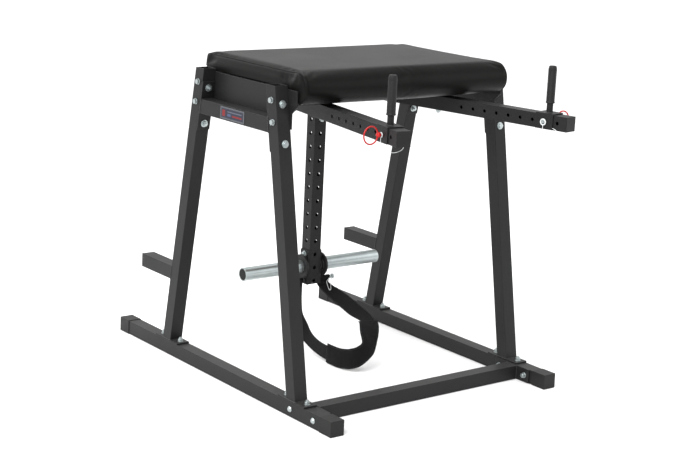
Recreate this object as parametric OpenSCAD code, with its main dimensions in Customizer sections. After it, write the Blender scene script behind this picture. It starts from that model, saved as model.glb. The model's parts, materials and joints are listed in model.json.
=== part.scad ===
// Prone hip-extension bench with a padded top, a swinging weighted pendulum,
// adjustable hand posts and an ankle strap.
// Frame: X across the bench, +X right; +Y towards the storage stubs; +Z up;
// the origin lies on the floor under the middle of the bench.

/* [Frame] */
// Outer width of every square steel tube
tube_w = 50; // [38:1:76]
// Wall thickness of the square tube
tube_wall = 2.5; // [1.5:0.5:4]
// Distance between the centre lines of the two floor rails
track = 952; // [700:1:1200]
// Whole length, from the tips of the arms to the far ends of the floor rails
overall_len = 1473; // [1200:1:1700]
// Length of a floor rail with its end caps
rail_len = 1354; // [1000:1:1600]
// Lean of each leg from upright, in degrees
leg_lean = 10; // [0:1:20]
// Height at which the legs are cut off
leg_top = 1084; // [900:1:1200]
// Y of the front legs where they meet the rails
front_foot_y = -392.5; // [-500:0.5:-300]
// Y of the rear legs where they meet the rails
rear_foot_y = 399.5; // [300:0.5:500]
// Y of the low cross tube between the rails
cross_y = -452; // [-550:1:-350]
// Height of the side tubes' centre line
side_tube_z = 952; // [900:1:1000]

/* [Pad] */
// Width of the pad
pad_w = 890; // [600:1:1000]
// Thickness of the pad behind its front roll
pad_t = 65; // [40:1:90]
// Height of the underside of the pad
pad_z = 1067; // [950:1:1100]
// Radius of the roll along the pad's front edge
roll_r = 55; // [40:1:70]
// Front of the pad
pad_front = -330.5; // [-400:0.5:-250]
// Back of the pad
pad_back = 274.5; // [200:0.5:350]

/* [Arms] */
// Outward turn of each arm, in degrees
arm_splay = 10.5; // [0:0.5:20]
// Height of the arms' centre line
arm_z = 983; // [950:1:1010]
// Distance of an arm from the middle of the bench, level with the front legs
arm_x = 279; // [200:1:350]
// Hole spacing along the arms and down the pendulum
hole_pitch = 50.8; // [40:0.1:60]
// Diameter of the arms' locking holes
arm_hole_d = 12.5; // [10:0.5:16]
// Diameter of the locking pins
pin_d = 12; // [8:0.5:14]

/* [Hand posts] */
// Diameter of the soft grip
grip_d = 31; // [26:1:40]
// Length of the soft grip
grip_len = 126; // [100:1:160]
// Diameter of the steel post
post_d = 22; // [16:1:26]
// Bare post below the grip
post_neck = 31; // [15:1:50]

/* [Pendulum] */
// Y of the swing axle and of the hanging pendulum
pivot_y = 201.5; // [150:0.5:250]
// Height of the swing axle
pivot_z = 1010; // [950:1:1020]
// Diameter of the swing axle
axle_d = 25; // [20:1:35]
// Height of the pendulum's lower end
upright_low = 257; // [200:1:350]
// Diameter of the holes in the pendulum
upright_hole_d = 14; // [10:0.5:18]
// Diameter of the weight horns, for plates with a 50 mm bore
horn_d = 49.5; // [25:0.5:50]
// Distance from the middle of the bench to a horn's end
horn_reach = 306; // [250:1:380]
// Height of the horns' centre line
horn_z = 324.5; // [280:0.5:400]

/* [Strap] */
// Width of the strap's webbing
strap_w = 55; // [40:1:70]
// Thickness of the webbing
strap_t = 4; // [2:0.5:6]
// Width of the padded cuff
cuff_w = 75; // [60:1:100]
// Thickness of the padded cuff
cuff_t = 12; // [8:1:20]

/* [Output] */
// The piece to draw, or all of them

/* [Hidden] */

$fn = 48;
eps = 0.01;
half = tube_w / 2;
bore_w = tube_w - 2 * tube_wall;
rail_x = track / 2;
rail_mid_y = (overall_len - rail_len) / 2;

// End caps
cap_wall = 2;
cap_end = 5;
cap_skirt = 58;
rail_z = cap_wall + half;
rail_top = rail_z + half;
rail_tube_len = rail_len - 2 * cap_end;

// Bolts: M10 with a 17 mm head
bolt_d = 10;
bolt_hole_d = 10.6;
bolt_head_d = 19;
bolt_head_h = 6.4;
washer_d = 26;
washer_h = 2;
flange_t = 5;

// Leg feet
foot_plate_t = 6;
foot_plate_len = 152;
foot_plate_w = tube_w + 2;
foot_bolt_dy = 57;
leg_base = 50;
lean_rise = leg_top - leg_base;

// Heights of the bolts through the tops of the legs
plate_bolt_z = [965, 1036];
flange_bolt_z = [893, 1021];
flange_low = 870;
flange_high = 1044;

// Low cross tube
cross_flange_len = 176;
cross_bolt_dy = 65;
rail_in = rail_x - half;

// Storage stubs on the rear legs
stub_z = 315;
stub_end_y = 582.5;
stub_plug_t = 4;

// Side plates and cross members that carry the pad
side_plate_t = 5;
side_plate_out = rail_in;
side_plate_in = side_plate_out - side_plate_t;
side_plate_low = 942;
side_plate_high = 1071.5;
side_plate_front = -290;
member_low = arm_z + half;
member_y = [-175, 39.5];
bar_x = 150;
bar_w = 40;
bar_front = -210;
bar_back = 170;
bar_t = pad_z - member_low - tube_w;
board_t = 15;
board_inset = 18;

// Arms, measured along each arm from the point where it passes y = arm_ref_y
arm_ref_y = -285.5;
arm_cap_t = 4;
arm_tip = (overall_len / 2 + arm_ref_y - half * sin(arm_splay)) / cos(arm_splay);
arm_tube_end = arm_tip - arm_cap_t;
arm_root = -(member_y[1] + half + 8 - arm_ref_y) / cos(arm_splay);
last_hole = arm_tip - 39;
arm_holes = 9;
saddle_at = last_hole - hole_pitch;

// Hand-post saddles, which straddle the arms
saddle_gap = 0.5;
saddle_t = 4;
saddle_len = 70;
saddle_in = half + saddle_gap;
saddle_out = saddle_in + saddle_t;
saddle_top = half + saddle_gap + saddle_t;
post_top = saddle_top + post_neck + grip_len - 3;

// Locking pins and their pull rings
pin_reach = saddle_out + 9;
pin_head_at = saddle_out + 11;
pin_head_r = 8.5;
ring_r = 28;
ring_wire_r = 2.5;
ring_at = ring_r + 3;
ring_hole_at = 3.55;
ring_hole_d = 6.4;
ring_turn = 12;
lanyard_d = 2;

// Pendulum
hub_r = 30;
hub_len = 120;
bush_wall = 4;
bush_fit = 0.05;
bush_flange_r = 24;
bush_flange_t = 4;
first_row = 268.4;
row_count = 14;
block_boss_r = 23;
block_boss_len = 22;
collar_r = 20;
collar_len = 14;

// Weight carriage: a cheek each side of the pendulum, with a collar, a plate stop and a horn
carriage_gap = 1;
carriage_t = 4;
carriage_in = half + carriage_gap;
carriage_out = carriage_in + carriage_t;
carriage_low = 256;
carriage_high = 386;
collar_out = carriage_out + 12;
collar_d = 48;
disc_r = 45;
disc_t = 6;
horn_start = collar_out + disc_t;
horn_wall = 3.5;
plug_t = 6;
strap_pin_z = first_row;
lock_bolt_z = first_row + 2 * hole_pitch;
strap_pin_d = 10;
strap_x = 62;
strap_pin_reach = strap_x + strap_w / 2 + 10;
strap_pin_head_t = 7;

// Strap route: centre line, and the lean of the webbing's width from upright towards +X, in degrees
strap_route = [
  [-62, 201.5, 260.5, 90], [-63, 199, 190, 90], [-62, 188, 130, 56], [-55, 148, 84, 14],
  [-53, 88, 54, 0], [-53, 8, 42, 0], [-46, -76, 42, 0], [-27, -130, 58, -8],
  [12, -148, 90, -45], [38, -120, 128, -80], [84, -52, 160, -95], [88, 40, 181, -128],
  [81, 110, 205, -125], [72, 165, 224, -105], [62, 199, 244, -90], [62, 201.5, 260.5, -90]
];
cuff_from = 5;
cuff_to = 10;
strap_steps = 5;

// Lanyard routes in their arm's own frame: X outwards, -Y towards the tip of the arm
hanging_lanyard = [
  [-34, 0, -12], [-35, -1, -26], [-35, -3, -50], [-35, -8, -78], [-35, -16, -104],
  [-34, -27, -122], [-33, -39, -129], [-32, -51, -122], [-31, -60, -104], [-30, -65, -80],
  [-29, -66, -56], [-28.5, -61, -36], [-28, -50, -23], [-27.5, -35, -18]
];
crossing_lanyard = [
  [31.3, 0, -9], [32.5, -1, -18], [33, -4, -30], [25, -10, -44], [8, -18, -53],
  [-10, -26, -53], [-25, -33, -45], [-32.5, -36, -33], [-33.5, -35, -23], [-32.5, -32, -18], [-29.5, -31, -17]
];
hanging_eye = [-34, -1, 9.5, 2.2];
crossing_eye = [31.3, -0.4, 7.8, 1.2];
// Pull loop tied to the head of the strap pin and lying over the webbing
pin_loop = [
  [101.2, 201.5, 259.5], [101, 201, 272], [95, 196, 277], [80, 187, 267],
  [67, 184, 256], [63, 173, 243], [56, 155, 235], [57, 149, 232], [64, 153, 235],
  [78, 173, 243], [87, 186, 252], [97, 193, 264], [103, 198, 269], [104.8, 201.5, 259.5]
];

steel = [0.22, 0.22, 0.23];
zinc = [0.72, 0.75, 0.74];
black = [0.08, 0.08, 0.08];
vinyl = [0.1, 0.1, 0.1];
red = [0.75, 0.15, 0.14];
white = [0.92, 0.93, 0.93];

function leg_y(foot_y, z) = foot_y - sign(foot_y) * (z - leg_base) * tan(leg_lean);

// ---------------------------------------------------------------- helpers

module box(size) {
  cube(size, center = true);
}

// Round bar between two coordinates along X
module x_bar(d, x0, x1) {
  translate([x0, 0, 0]) rotate([0, 90, 0]) cylinder(d = d, h = x1 - x0);
}

// Square tube centred on the origin, running along X
module x_tube(len) {
  difference() {
    box([len, tube_w, tube_w]);
    box([len + 1, bore_w, bore_w]);
  }
}

// Square tube centred on the origin, running along Y
module y_tube(len) {
  rotate([0, 0, 90]) x_tube(len);
}

// Bolt along +Z: head and washer below the origin, nut and washer above the grip length
module bolt(grip, washer = washer_d, past = 13) {
  translate([0, 0, -washer_h - bolt_head_h]) cylinder(d = bolt_head_d, h = bolt_head_h, $fn = 6);
  translate([0, 0, -washer_h]) cylinder(d = washer, h = washer_h);
  translate([0, 0, -washer_h]) cylinder(d = bolt_d, h = grip + 2 * washer_h + past);
  translate([0, 0, grip]) cylinder(d = washer, h = washer_h);
  translate([0, 0, grip + washer_h]) cylinder(d = bolt_head_d, h = 8, $fn = 6);
}

// Domed bolt along +Z, with a low round head below the origin
module dome_bolt(grip) {
  translate([0, 0, -4.5]) cylinder(d1 = 13, d2 = 21, h = 4.5);
  translate([0, 0, -1]) cylinder(d = bolt_d, h = grip + washer_h + 13);
  translate([0, 0, grip]) cylinder(d = 21, h = washer_h);
  translate([0, 0, grip + washer_h]) cylinder(d = bolt_head_d, h = 8, $fn = 6);
}

module both_sides() {
  children();
  mirror([1, 0, 0]) children();
}

// Leg frame: origin at the foot, Z up the leg
module leg_frame(x, foot_y) {
  translate([x, foot_y, leg_base]) rotate([sign(foot_y) * leg_lean, 0, 0]) children();
}

// Distance up the leg of a given height
function up_leg(z) = (z - leg_base) / cos(leg_lean);

// Arm frame: origin on the arm's centre line, -Y towards the tip, X outwards on both sides
module arm_frame(side, along) {
  translate([side * arm_x, arm_ref_y, arm_z]) rotate([0, 0, side * arm_splay])
    scale([side, 1, 1]) translate([0, -along, 0]) children();
}

// ---------------------------------------------------------------- base

module rail(side) {
  color(steel) difference() {
    translate([side * rail_x, rail_mid_y, rail_z]) y_tube(rail_tube_len);
    for (foot = [front_foot_y, rear_foot_y], d = [-foot_bolt_dy, foot_bolt_dy])
      translate([side * rail_x, foot + d, -1]) cylinder(d = bolt_hole_d, h = rail_top + 2);
    for (d = [-cross_bolt_dy, cross_bolt_dy])
      translate([side * rail_x, cross_y + d, rail_z]) x_bar(bolt_hole_d, -tube_w, tube_w);
  }
}

module left_rail() rail(-1);
module right_rail() rail(1);

module rail_end_caps() {
  color(black) for (side = [-1, 1], end = [-1, 1])
    translate([side * rail_x, rail_mid_y + end * (rail_len / 2 - (cap_end + cap_skirt) / 2), rail_z])
      difference() {
        rotate([90, 0, 0]) linear_extrude(cap_end + cap_skirt, center = true)
          offset(2) square(tube_w + 2 * cap_wall - 4, center = true);
        translate([0, -end * cap_end, 0]) box([tube_w, cap_end + cap_skirt, tube_w]);
      }
}

module base_cross_tube() {
  color(steel) translate([0, cross_y, rail_z]) x_tube(2 * (rail_in - flange_t));
}

module cross_tube_flanges() {
  color(steel) for (side = [-1, 1])
    translate([side * (rail_in - flange_t / 2), cross_y, rail_z]) difference() {
      box([flange_t, cross_flange_len, tube_w]);
      for (d = [-cross_bolt_dy, cross_bolt_dy])
        translate([0, d, 0]) x_bar(bolt_hole_d, -tube_w, tube_w);
    }
}

module base_cross_bolts() {
  color(zinc) both_sides() for (d = [-cross_bolt_dy, cross_bolt_dy])
    translate([rail_x + half, cross_y + d, rail_z]) rotate([0, -90, 0]) dome_bolt(tube_w + flange_t);
}

// ---------------------------------------------------------------- legs

module leg(x, foot_y) {
  low = rail_top + foot_plate_t;
  color(steel) difference() {
    intersection() {
      leg_frame(x, foot_y) translate([0, 0, lean_rise / 2]) difference() {
        box([tube_w, tube_w, 2 * lean_rise]);
        box([bore_w, bore_w, 2 * lean_rise + 1]);
      }
      translate([x, 0, (low + leg_top) / 2]) box([2 * tube_w, overall_len, leg_top - low]);
    }
    for (z = plate_bolt_z)
      translate([x, leg_y(foot_y, z), z]) x_bar(bolt_hole_d, -tube_w, tube_w);
    for (z = flange_bolt_z)
      leg_frame(x, foot_y) translate([0, 0, up_leg(z)]) rotate([90, 0, 0])
        cylinder(d = bolt_hole_d, h = 2 * tube_w, center = true);
  }
}

module front_left_leg() leg(-rail_x, front_foot_y);
module front_right_leg() leg(rail_x, front_foot_y);
module rear_left_leg() leg(-rail_x, rear_foot_y);
module rear_right_leg() leg(rail_x, rear_foot_y);

// Plate welded under each leg and bolted down through its rail
module foot_plates() {
  color(steel) for (side = [-1, 1], foot = [front_foot_y, rear_foot_y])
    translate([side * rail_x, foot, rail_top + foot_plate_t / 2]) difference() {
      box([foot_plate_w, foot_plate_len, foot_plate_t]);
      for (d = [-foot_bolt_dy, foot_bolt_dy])
        translate([0, d, 0]) cylinder(d = bolt_hole_d, h = 2 * foot_plate_t, center = true);
    }
}

// Square stubs behind the rear legs, on which spare plates are kept
module storage_stubs() {
  lean_back = half / cos(leg_lean);
  low = leg_y(rear_foot_y, stub_z - half) + lean_back;
  high = leg_y(rear_foot_y, stub_z + half) + lean_back;
  color(steel) both_sides() translate([rail_x, 0, 0]) difference() {
    rotate([90, 0, 90]) linear_extrude(tube_w, center = true)
      polygon([[low, stub_z - half], [stub_end_y, stub_z - half], [stub_end_y, stub_z + half],
               [high, stub_z + half]]);
    translate([0, stub_end_y, stub_z]) box([bore_w, 2 * stub_plug_t + 200, bore_w]);
  }
}

module leg_base_bolts() {
  top = rail_top + foot_plate_t;
  color(zinc) for (side = [-1, 1], foot = [front_foot_y, rear_foot_y], d = [-foot_bolt_dy, foot_bolt_dy])
    translate([side * rail_x, foot + d, 0]) {
      translate([0, 0, cap_wall]) cylinder(d = bolt_d, h = top + 16 - cap_wall);
      translate([0, 0, top]) cylinder(d = 21, h = washer_h);
      translate([0, 0, top + washer_h]) cylinder(d = bolt_head_d, h = 9, $fn = 6);
    }
}

module stub_end_caps() {
  color(black) both_sides() translate([rail_x, stub_end_y, stub_z]) {
    translate([0, 1.5, 0]) box([tube_w, 3, tube_w]);
    translate([0, -8, 0]) box([bore_w, 16, bore_w]);
  }
}

// ---------------------------------------------------------------- upper frame

// Side tube between the front and rear leg
module side_tube(side) {
  reach = (half + flange_t) / cos(leg_lean);
  low = side_tube_z - half;
  high = side_tube_z + half;
  function front_at(z) = leg_y(front_foot_y, z) + reach;
  function rear_at(z) = leg_y(rear_foot_y, z) - reach;
  color(steel) translate([side * rail_x, 0, 0]) difference() {
    rotate([90, 0, 90]) linear_extrude(tube_w, center = true)
      polygon([[front_at(low), low], [rear_at(low), low], [rear_at(high), high], [front_at(high), high]]);
    translate([0, 0, side_tube_z]) box([bore_w, overall_len, bore_w]);
  }
}

// Plate on each end of the side tubes, bolted through its leg
module side_tube_flanges() {
  middle = (up_leg(flange_low) + up_leg(flange_high)) / 2;
  color(steel) for (side = [-1, 1], foot = [front_foot_y, rear_foot_y]) leg_frame(side * rail_x, foot)
    translate([0, -sign(foot) * (half + flange_t / 2), middle]) difference() {
      box([tube_w, flange_t, up_leg(flange_high) - up_leg(flange_low)]);
      for (z = flange_bolt_z) translate([0, 0, up_leg(z) - middle]) rotate([90, 0, 0])
        cylinder(d = bolt_hole_d, h = tube_w, center = true);
    }
}

module left_side_tube() side_tube(-1);
module right_side_tube() side_tube(1);

module side_tube_bolts() {
  color(zinc) for (side = [-1, 1], foot = [front_foot_y, rear_foot_y], z = flange_bolt_z)
    leg_frame(side * rail_x, foot) translate([0, sign(foot) * half, up_leg(z)])
      rotate([sign(foot) * 90, 0, 0]) bolt(tube_w + flange_t);
}

module id_plate() {
  color(white) translate([-rail_x - half - 0.5, 8, side_tube_z]) box([1, 144, 42]);
}

module side_plate(side) {
  color(steel) translate([side * (side_plate_in + side_plate_t / 2), 0, 0]) difference() {
    rotate([90, 0, 90]) linear_extrude(side_plate_t, center = true)
      polygon([[256, side_plate_low], [256, side_plate_high], [side_plate_front, side_plate_high],
               [side_plate_front, 1018], [-262, 994], [-262, side_plate_low]]);
    for (foot = [front_foot_y, rear_foot_y], z = plate_bolt_z)
      translate([0, leg_y(foot, z), z]) x_bar(bolt_hole_d, -tube_w, tube_w);
  }
}

module left_side_plate() side_plate(-1);
module right_side_plate() side_plate(1);

module side_plate_bolts() {
  color(zinc) both_sides() for (foot = [front_foot_y, rear_foot_y], z = plate_bolt_z)
    translate([rail_x + half, leg_y(foot, z), z]) rotate([0, -90, 0])
      bolt(tube_w + side_plate_t, 21);
}

module cross_member(y) {
  color(steel) difference() {
    translate([0, y, member_low + half]) x_tube(2 * side_plate_in);
    for (side = [-1, 1]) translate([side * arm_at(y), y, member_low - 1])
      cylinder(d = bolt_hole_d, h = tube_w + 2);
  }
}

// Distance of an arm's centre line from the middle, at a given Y
function arm_at(y) = arm_x - (y - arm_ref_y) * tan(arm_splay);

module front_cross_member() cross_member(member_y[0]);
module rear_cross_member() cross_member(member_y[1]);

module arm(side) {
  length = arm_tube_end - arm_root;
  color(steel) difference() {
    arm_frame(side, (arm_tube_end + arm_root) / 2) y_tube(length);
    for (i = [0 : arm_holes - 1]) arm_frame(side, last_hole - i * hole_pitch)
      x_bar(arm_hole_d, -tube_w, tube_w);
    for (y = member_y) translate([side * arm_at(y), y, arm_z])
      cylinder(d = bolt_hole_d, h = 2 * tube_w, center = true);
  }
}

module left_arm() arm(-1);
module right_arm() arm(1);

module arm_end_caps() {
  color(black) for (side = [-1, 1]) arm_frame(side, arm_tip) {
    translate([0, arm_cap_t / 2, 0]) box([tube_w, arm_cap_t, tube_w]);
    translate([0, arm_cap_t + 7, 0]) box([bore_w, 15, bore_w]);
  }
}

module arm_bolts() {
  color(zinc) for (side = [-1, 1], y = member_y)
    translate([side * arm_at(y), y, member_low + tube_w]) rotate([180, 0, 0]) dome_bolt(2 * tube_w);
}

// ---------------------------------------------------------------- pad

module pad_mount_bars() {
  color(steel) both_sides()
    translate([bar_x, (bar_front + bar_back) / 2, pad_z - bar_t / 2]) box([bar_w, bar_back - bar_front, bar_t]);
}

module pad_board() {
  board_len = pad_back - pad_front - 2 * board_inset - roll_r;
  color([0.6, 0.45, 0.3]) translate([0, (pad_back + pad_front + roll_r) / 2, pad_z + board_t / 2])
    box([pad_w - 2 * board_inset, board_len, board_t]);
}

// Upholstery: flat behind, with a thick roll that hangs in front of the frame
module pad() {
  top = pad_z + pad_t;
  board_len = pad_back - pad_front - 2 * board_inset - roll_r;
  color(vinyl) difference() {
    rotate([90, 0, 90]) linear_extrude(pad_w, center = true) {
      translate([pad_front + roll_r, top - roll_r]) circle(roll_r);
      translate([pad_front + roll_r, pad_z]) square([pad_back - pad_front - roll_r - 14, pad_t]);
      translate([pad_back - 14, pad_z]) square([14, pad_t - 14]);
      translate([pad_back - 14, top - 14]) circle(14);
    }
    translate([0, (pad_back + pad_front + roll_r) / 2, pad_z + board_t / 2 - 1])
      box([pad_w - 2 * board_inset, board_len, board_t + 2]);
  }
}

// ---------------------------------------------------------------- swing axle

module axle_block(side) {
  color(steel) translate([side * side_plate_in, pivot_y, pivot_z]) scale([-side, 1, 1]) difference() {
    union() {
      rotate([90, 0, 90]) linear_extrude(6) hull() {
        circle(block_boss_r + 1);
        translate([-46, 26]) circle(10);
        translate([-46, -26]) circle(10);
      }
      x_bar(2 * block_boss_r, 0, block_boss_len);
    }
    x_bar(axle_d, -1, block_boss_len + 1);
  }
}

module left_axle_block() axle_block(-1);
module right_axle_block() axle_block(1);

module axle() {
  color(zinc) translate([0, pivot_y, pivot_z]) x_bar(axle_d, -side_plate_in, side_plate_in);
}

module axle_collars() {
  start = hub_len / 2 + bush_flange_t + 0.5;
  color(zinc) both_sides() translate([0, pivot_y, pivot_z]) difference() {
    x_bar(2 * collar_r, start, start + collar_len);
    x_bar(axle_d, start - 1, start + collar_len + 1);
  }
}

module pendulum_upright() {
  color(steel) difference() {
    union() {
      translate([0, pivot_y, (upright_low + pivot_z) / 2]) difference() {
        box([tube_w, tube_w, pivot_z - upright_low]);
        translate([0, 0, -hub_r]) box([bore_w, bore_w, pivot_z - upright_low]);
      }
      translate([0, pivot_y, pivot_z]) x_bar(2 * hub_r, -hub_len / 2, hub_len / 2);
    }
    translate([0, pivot_y, pivot_z]) x_bar(axle_d + 2 * bush_wall, -hub_len, hub_len);
    for (i = [0 : row_count - 1]) translate([0, pivot_y, first_row + i * hole_pitch]) {
      x_bar(upright_hole_d, -tube_w, tube_w);
      rotate([0, 0, 90]) x_bar(upright_hole_d, -tube_w, tube_w);
    }
  }
}

// Flanged bearing bushes pressed into the hub
module hub_bushings() {
  color([0.6, 0.5, 0.3]) both_sides() translate([0, pivot_y, pivot_z]) difference() {
    union() {
      x_bar(axle_d + 2 * bush_wall, hub_len / 2 - 30, hub_len / 2);
      x_bar(2 * bush_flange_r, hub_len / 2, hub_len / 2 + bush_flange_t);
    }
    x_bar(axle_d + 2 * bush_fit, 0, hub_len);
  }
}

module upright_plug() {
  color(black) translate([0, pivot_y, upright_low]) {
    translate([0, 0, 2.5]) box([bore_w, bore_w, 5]);
  }
}

// ---------------------------------------------------------------- weight carriage

module weight_carriage() {
  height = carriage_high - carriage_low;
  color(steel) both_sides() difference() {
    union() {
      translate([carriage_in + carriage_t / 2, pivot_y, carriage_low + height / 2])
        box([carriage_t, tube_w, height]);
      translate([0, pivot_y, horn_z]) {
        x_bar(collar_d, carriage_out - 1, collar_out + 1);
        x_bar(2 * disc_r, collar_out, horn_start);
      }
    }
    translate([0, pivot_y, strap_pin_z]) x_bar(strap_pin_d + 1, 0, tube_w);
    translate([0, pivot_y, lock_bolt_z]) x_bar(bolt_hole_d, 0, carriage_out + 1);
  }
}

module horn(side) {
  color(zinc) translate([0, pivot_y, horn_z]) scale([side, 1, 1]) difference() {
    x_bar(horn_d, horn_start, horn_reach);
    x_bar(horn_d - 2 * horn_wall, horn_start + 3, horn_reach + 1);
  }
}

module left_horn() horn(-1);
module right_horn() horn(1);

module horn_plugs() {
  color(black) both_sides() translate([0, pivot_y, horn_z])
    x_bar(horn_d - 2 * horn_wall, horn_reach - plug_t - 1, horn_reach - 1);
}

module carriage_bolt() {
  color(zinc) translate([-carriage_out, pivot_y, lock_bolt_z]) rotate([0, 90, 0])
    bolt(2 * carriage_out, 24, 9);
}

// ---------------------------------------------------------------- strap

function unit(v) = v / norm(v);
function xyz(p) = [p[0], p[1], p[2]];

// Smooth curve through the route: p is a whole and fractional index
function spline(pts, p) =
  let (i = min(floor(p), len(pts) - 2), t = p - i,
       a = pts[max(i - 1, 0)], b = pts[i], c = pts[i + 1], d = pts[min(i + 2, len(pts) - 1)])
  0.5 * (2 * b + (c - a) * t + (2 * a - 5 * b + 4 * c - d) * t * t
         + (3 * b - a - 3 * c + d) * t * t * t);

function heading(pts, p) =
  let (last = len(pts) - 1)
  unit(xyz(spline(pts, min(p + 0.05, last)) - spline(pts, max(p - 0.05, 0))));

// Width direction of the webbing, square to its run
function width_dir(pts, p) =
  let (lean = spline(pts, p)[3], t = heading(pts, p), w = [sin(lean), 0, cos(lean)])
  unit(w - (w * t) * t);

function band_ring(p, w, t) =
  let (c = xyz(spline(strap_route, p)), u = width_dir(strap_route, p),
       n = cross(heading(strap_route, p), u))
  [c - u * w / 2 - n * t / 2, c + u * w / 2 - n * t / 2,
   c + u * w / 2 + n * t / 2, c - u * w / 2 + n * t / 2];

// Closed solid through a list of rings that all have the same number of corners
module skin(rings) {
  n = len(rings[0]);
  last = (len(rings) - 1) * n;
  points = [for (r = rings) for (q = r) q];
  sides = [for (i = [0 : len(rings) - 2]) for (j = [0 : n - 1])
    let (a = i * n + j, b = i * n + (j + 1) % n)
    each [[a, b + n, b], [a, a + n, b + n]]];
  ends = [[for (j = [0 : n - 1]) j], [for (j = [n - 1 : -1 : 0]) last + j]];
  polyhedron(points = points, faces = concat(sides, ends), convexity = 10);
}

module band(from, to, w, t) {
  skin([for (k = [0 : (to - from) * strap_steps]) band_ring(from + k / strap_steps, w, t)]);
}

// Sewn eye at each end of the webbing, round the strap pin
module strap_eyes() {
  both_sides() translate([strap_x, pivot_y, strap_pin_z]) difference() {
    x_bar(strap_pin_d + 2 * strap_t + 1.4, -strap_w / 2, strap_w / 2);
    x_bar(strap_pin_d + 0.7, -strap_w, strap_w);
  }
}

module strap_webbing() {
  color(black) {
    band(0, cuff_from, strap_w, strap_t);
    band(cuff_to, len(strap_route) - 1, strap_w, strap_t);
    strap_eyes();
  }
}

module ankle_cuff() {
  color([0.12, 0.12, 0.12]) band(cuff_from, cuff_to, cuff_w, cuff_t);
}

module strap_pin() {
  color(zinc) translate([0, pivot_y, strap_pin_z]) {
    x_bar(strap_pin_d, -strap_pin_reach, strap_pin_reach);
    x_bar(20, strap_pin_reach, strap_pin_reach + strap_pin_head_t);
  }
}

// ---------------------------------------------------------------- hand posts

module hand_post(side) {
  color(steel) arm_frame(side, saddle_at) difference() {
    union() {
      translate([0, 0, saddle_top - saddle_t / 2]) box([2 * saddle_out, saddle_len, saddle_t]);
      for (s = [-1, 1]) translate([s * (saddle_in + saddle_t / 2), 0, (saddle_top - half) / 2])
        box([saddle_t, saddle_len, saddle_top + half]);
      translate([0, 0, saddle_top - 1]) cylinder(d = post_d, h = post_top - saddle_top + 1);
    }
    x_bar(arm_hole_d, -tube_w, tube_w);
  }
}

module left_hand_post() hand_post(-1);
module right_hand_post() hand_post(1);

module grip(side) {
  color(black) arm_frame(side, saddle_at) translate([0, 0, saddle_top + post_neck]) difference() {
    cylinder(d = grip_d, h = grip_len);
    translate([0, 0, -1]) cylinder(d = post_d, h = grip_len - 2);
  }
}

module left_grip() grip(-1);
module right_grip() grip(1);

// Pin outside the saddle, whose ball head carries a loose pull ring
module lock_pin(side) {
  color(zinc) arm_frame(side, saddle_at) {
    x_bar(pin_d - 1, -pin_reach, -pin_reach + 3);
    x_bar(pin_d, -pin_reach + 3, saddle_out + 4);
    x_bar(8, saddle_out + 3, pin_head_at - 1.5);
  }
}

module left_lock_pin() lock_pin(-1);
module right_lock_pin() lock_pin(1);

module pin_ring(side) {
  color(red) arm_frame(side, saddle_at) {
    difference() {
      translate([pin_head_at, 0, 0]) rotate([90, 0, 0]) sphere(pin_head_r, $fn = 32);
      x_bar(8, 0, pin_head_at - 1.5);
      translate([pin_head_at, 0, 0]) rotate([0, 0, -ring_turn]) translate([ring_hole_at, 0, 0])
        cylinder(d = ring_hole_d, h = 4 * pin_head_r, center = true);
    }
    translate([pin_head_at, 0, 0]) rotate([0, 0, -ring_turn]) translate([ring_at, 0, 0]) rotate([90, 0, 0])
      rotate_extrude($fn = 40) translate([ring_r, 0]) circle(ring_wire_r, $fn = 16);
  }
}

module left_pin_ring() pin_ring(-1);
module right_pin_ring() pin_ring(1);

// ---------------------------------------------------------------- lanyards

cord_sides = 8;
cord_steps = 4;

function cord_ring(pts, p) =
  let (c = spline(pts, p), t = heading(pts, p),
       a = unit(cross(t, abs(t[1]) < 0.9 ? [0, 1, 0] : [1, 0, 0])), b = cross(t, a))
  [for (k = [0 : cord_sides - 1])
    c + lanyard_d / 2 * (a * cos(k * 360 / cord_sides) + b * sin(k * 360 / cord_sides))];

module cord(pts) {
  skin([for (k = [0 : (len(pts) - 1) * cord_steps]) cord_ring(pts, k / cord_steps)]);
}

// Ring that holds a lanyard on its pin: [x, z, ring radius, wire radius]
module lanyard_eye(side, eye) {
  color(white) arm_frame(side, saddle_at) translate([eye[0], 0, eye[1]]) rotate([0, 90, 0])
    rotate_extrude($fn = 32) translate([eye[2], 0]) circle(eye[3], $fn = 16);
}

module left_lanyard() color(white) arm_frame(-1, saddle_at) cord(crossing_lanyard);
module right_lanyard() color(white) arm_frame(1, saddle_at) cord(hanging_lanyard);
module left_lanyard_eye() lanyard_eye(-1, crossing_eye);
module right_lanyard_eye() lanyard_eye(1, hanging_eye);
module strap_pin_loop() color(white) cord(pin_loop);

// ---------------------------------------------------------------- output

left_rail();
right_rail();
rail_end_caps();
base_cross_tube();
cross_tube_flanges();
base_cross_bolts();
front_left_leg();
front_right_leg();
rear_left_leg();
rear_right_leg();
foot_plates();
leg_base_bolts();
storage_stubs();
stub_end_caps();
left_side_tube();
right_side_tube();
side_tube_flanges();
side_tube_bolts();
id_plate();
left_side_plate();
right_side_plate();
side_plate_bolts();
front_cross_member();
rear_cross_member();
left_arm();
right_arm();
arm_end_caps();
arm_bolts();
pad_mount_bars();
pad_board();
pad();
left_axle_block();
right_axle_block();
axle();
axle_collars();
pendulum_upright();
hub_bushings();
upright_plug();
weight_carriage();
left_horn();
right_horn();
horn_plugs();
carriage_bolt();
strap_webbing();
ankle_cuff();
strap_pin();
strap_pin_loop();
left_hand_post();
left_grip();
left_lock_pin();
left_pin_ring();
left_lanyard();
left_lanyard_eye();
right_hand_post();
right_grip();
right_lock_pin();
right_pin_ring();
right_lanyard();
right_lanyard_eye();
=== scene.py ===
"""Upholstery, strap, lanyards, welds and finishes of a pendulum hip-extension bench.

Everything is in metres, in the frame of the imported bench: X across it, +Y towards the
storage stubs, +Z up, with the floor at zero.
"""

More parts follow.
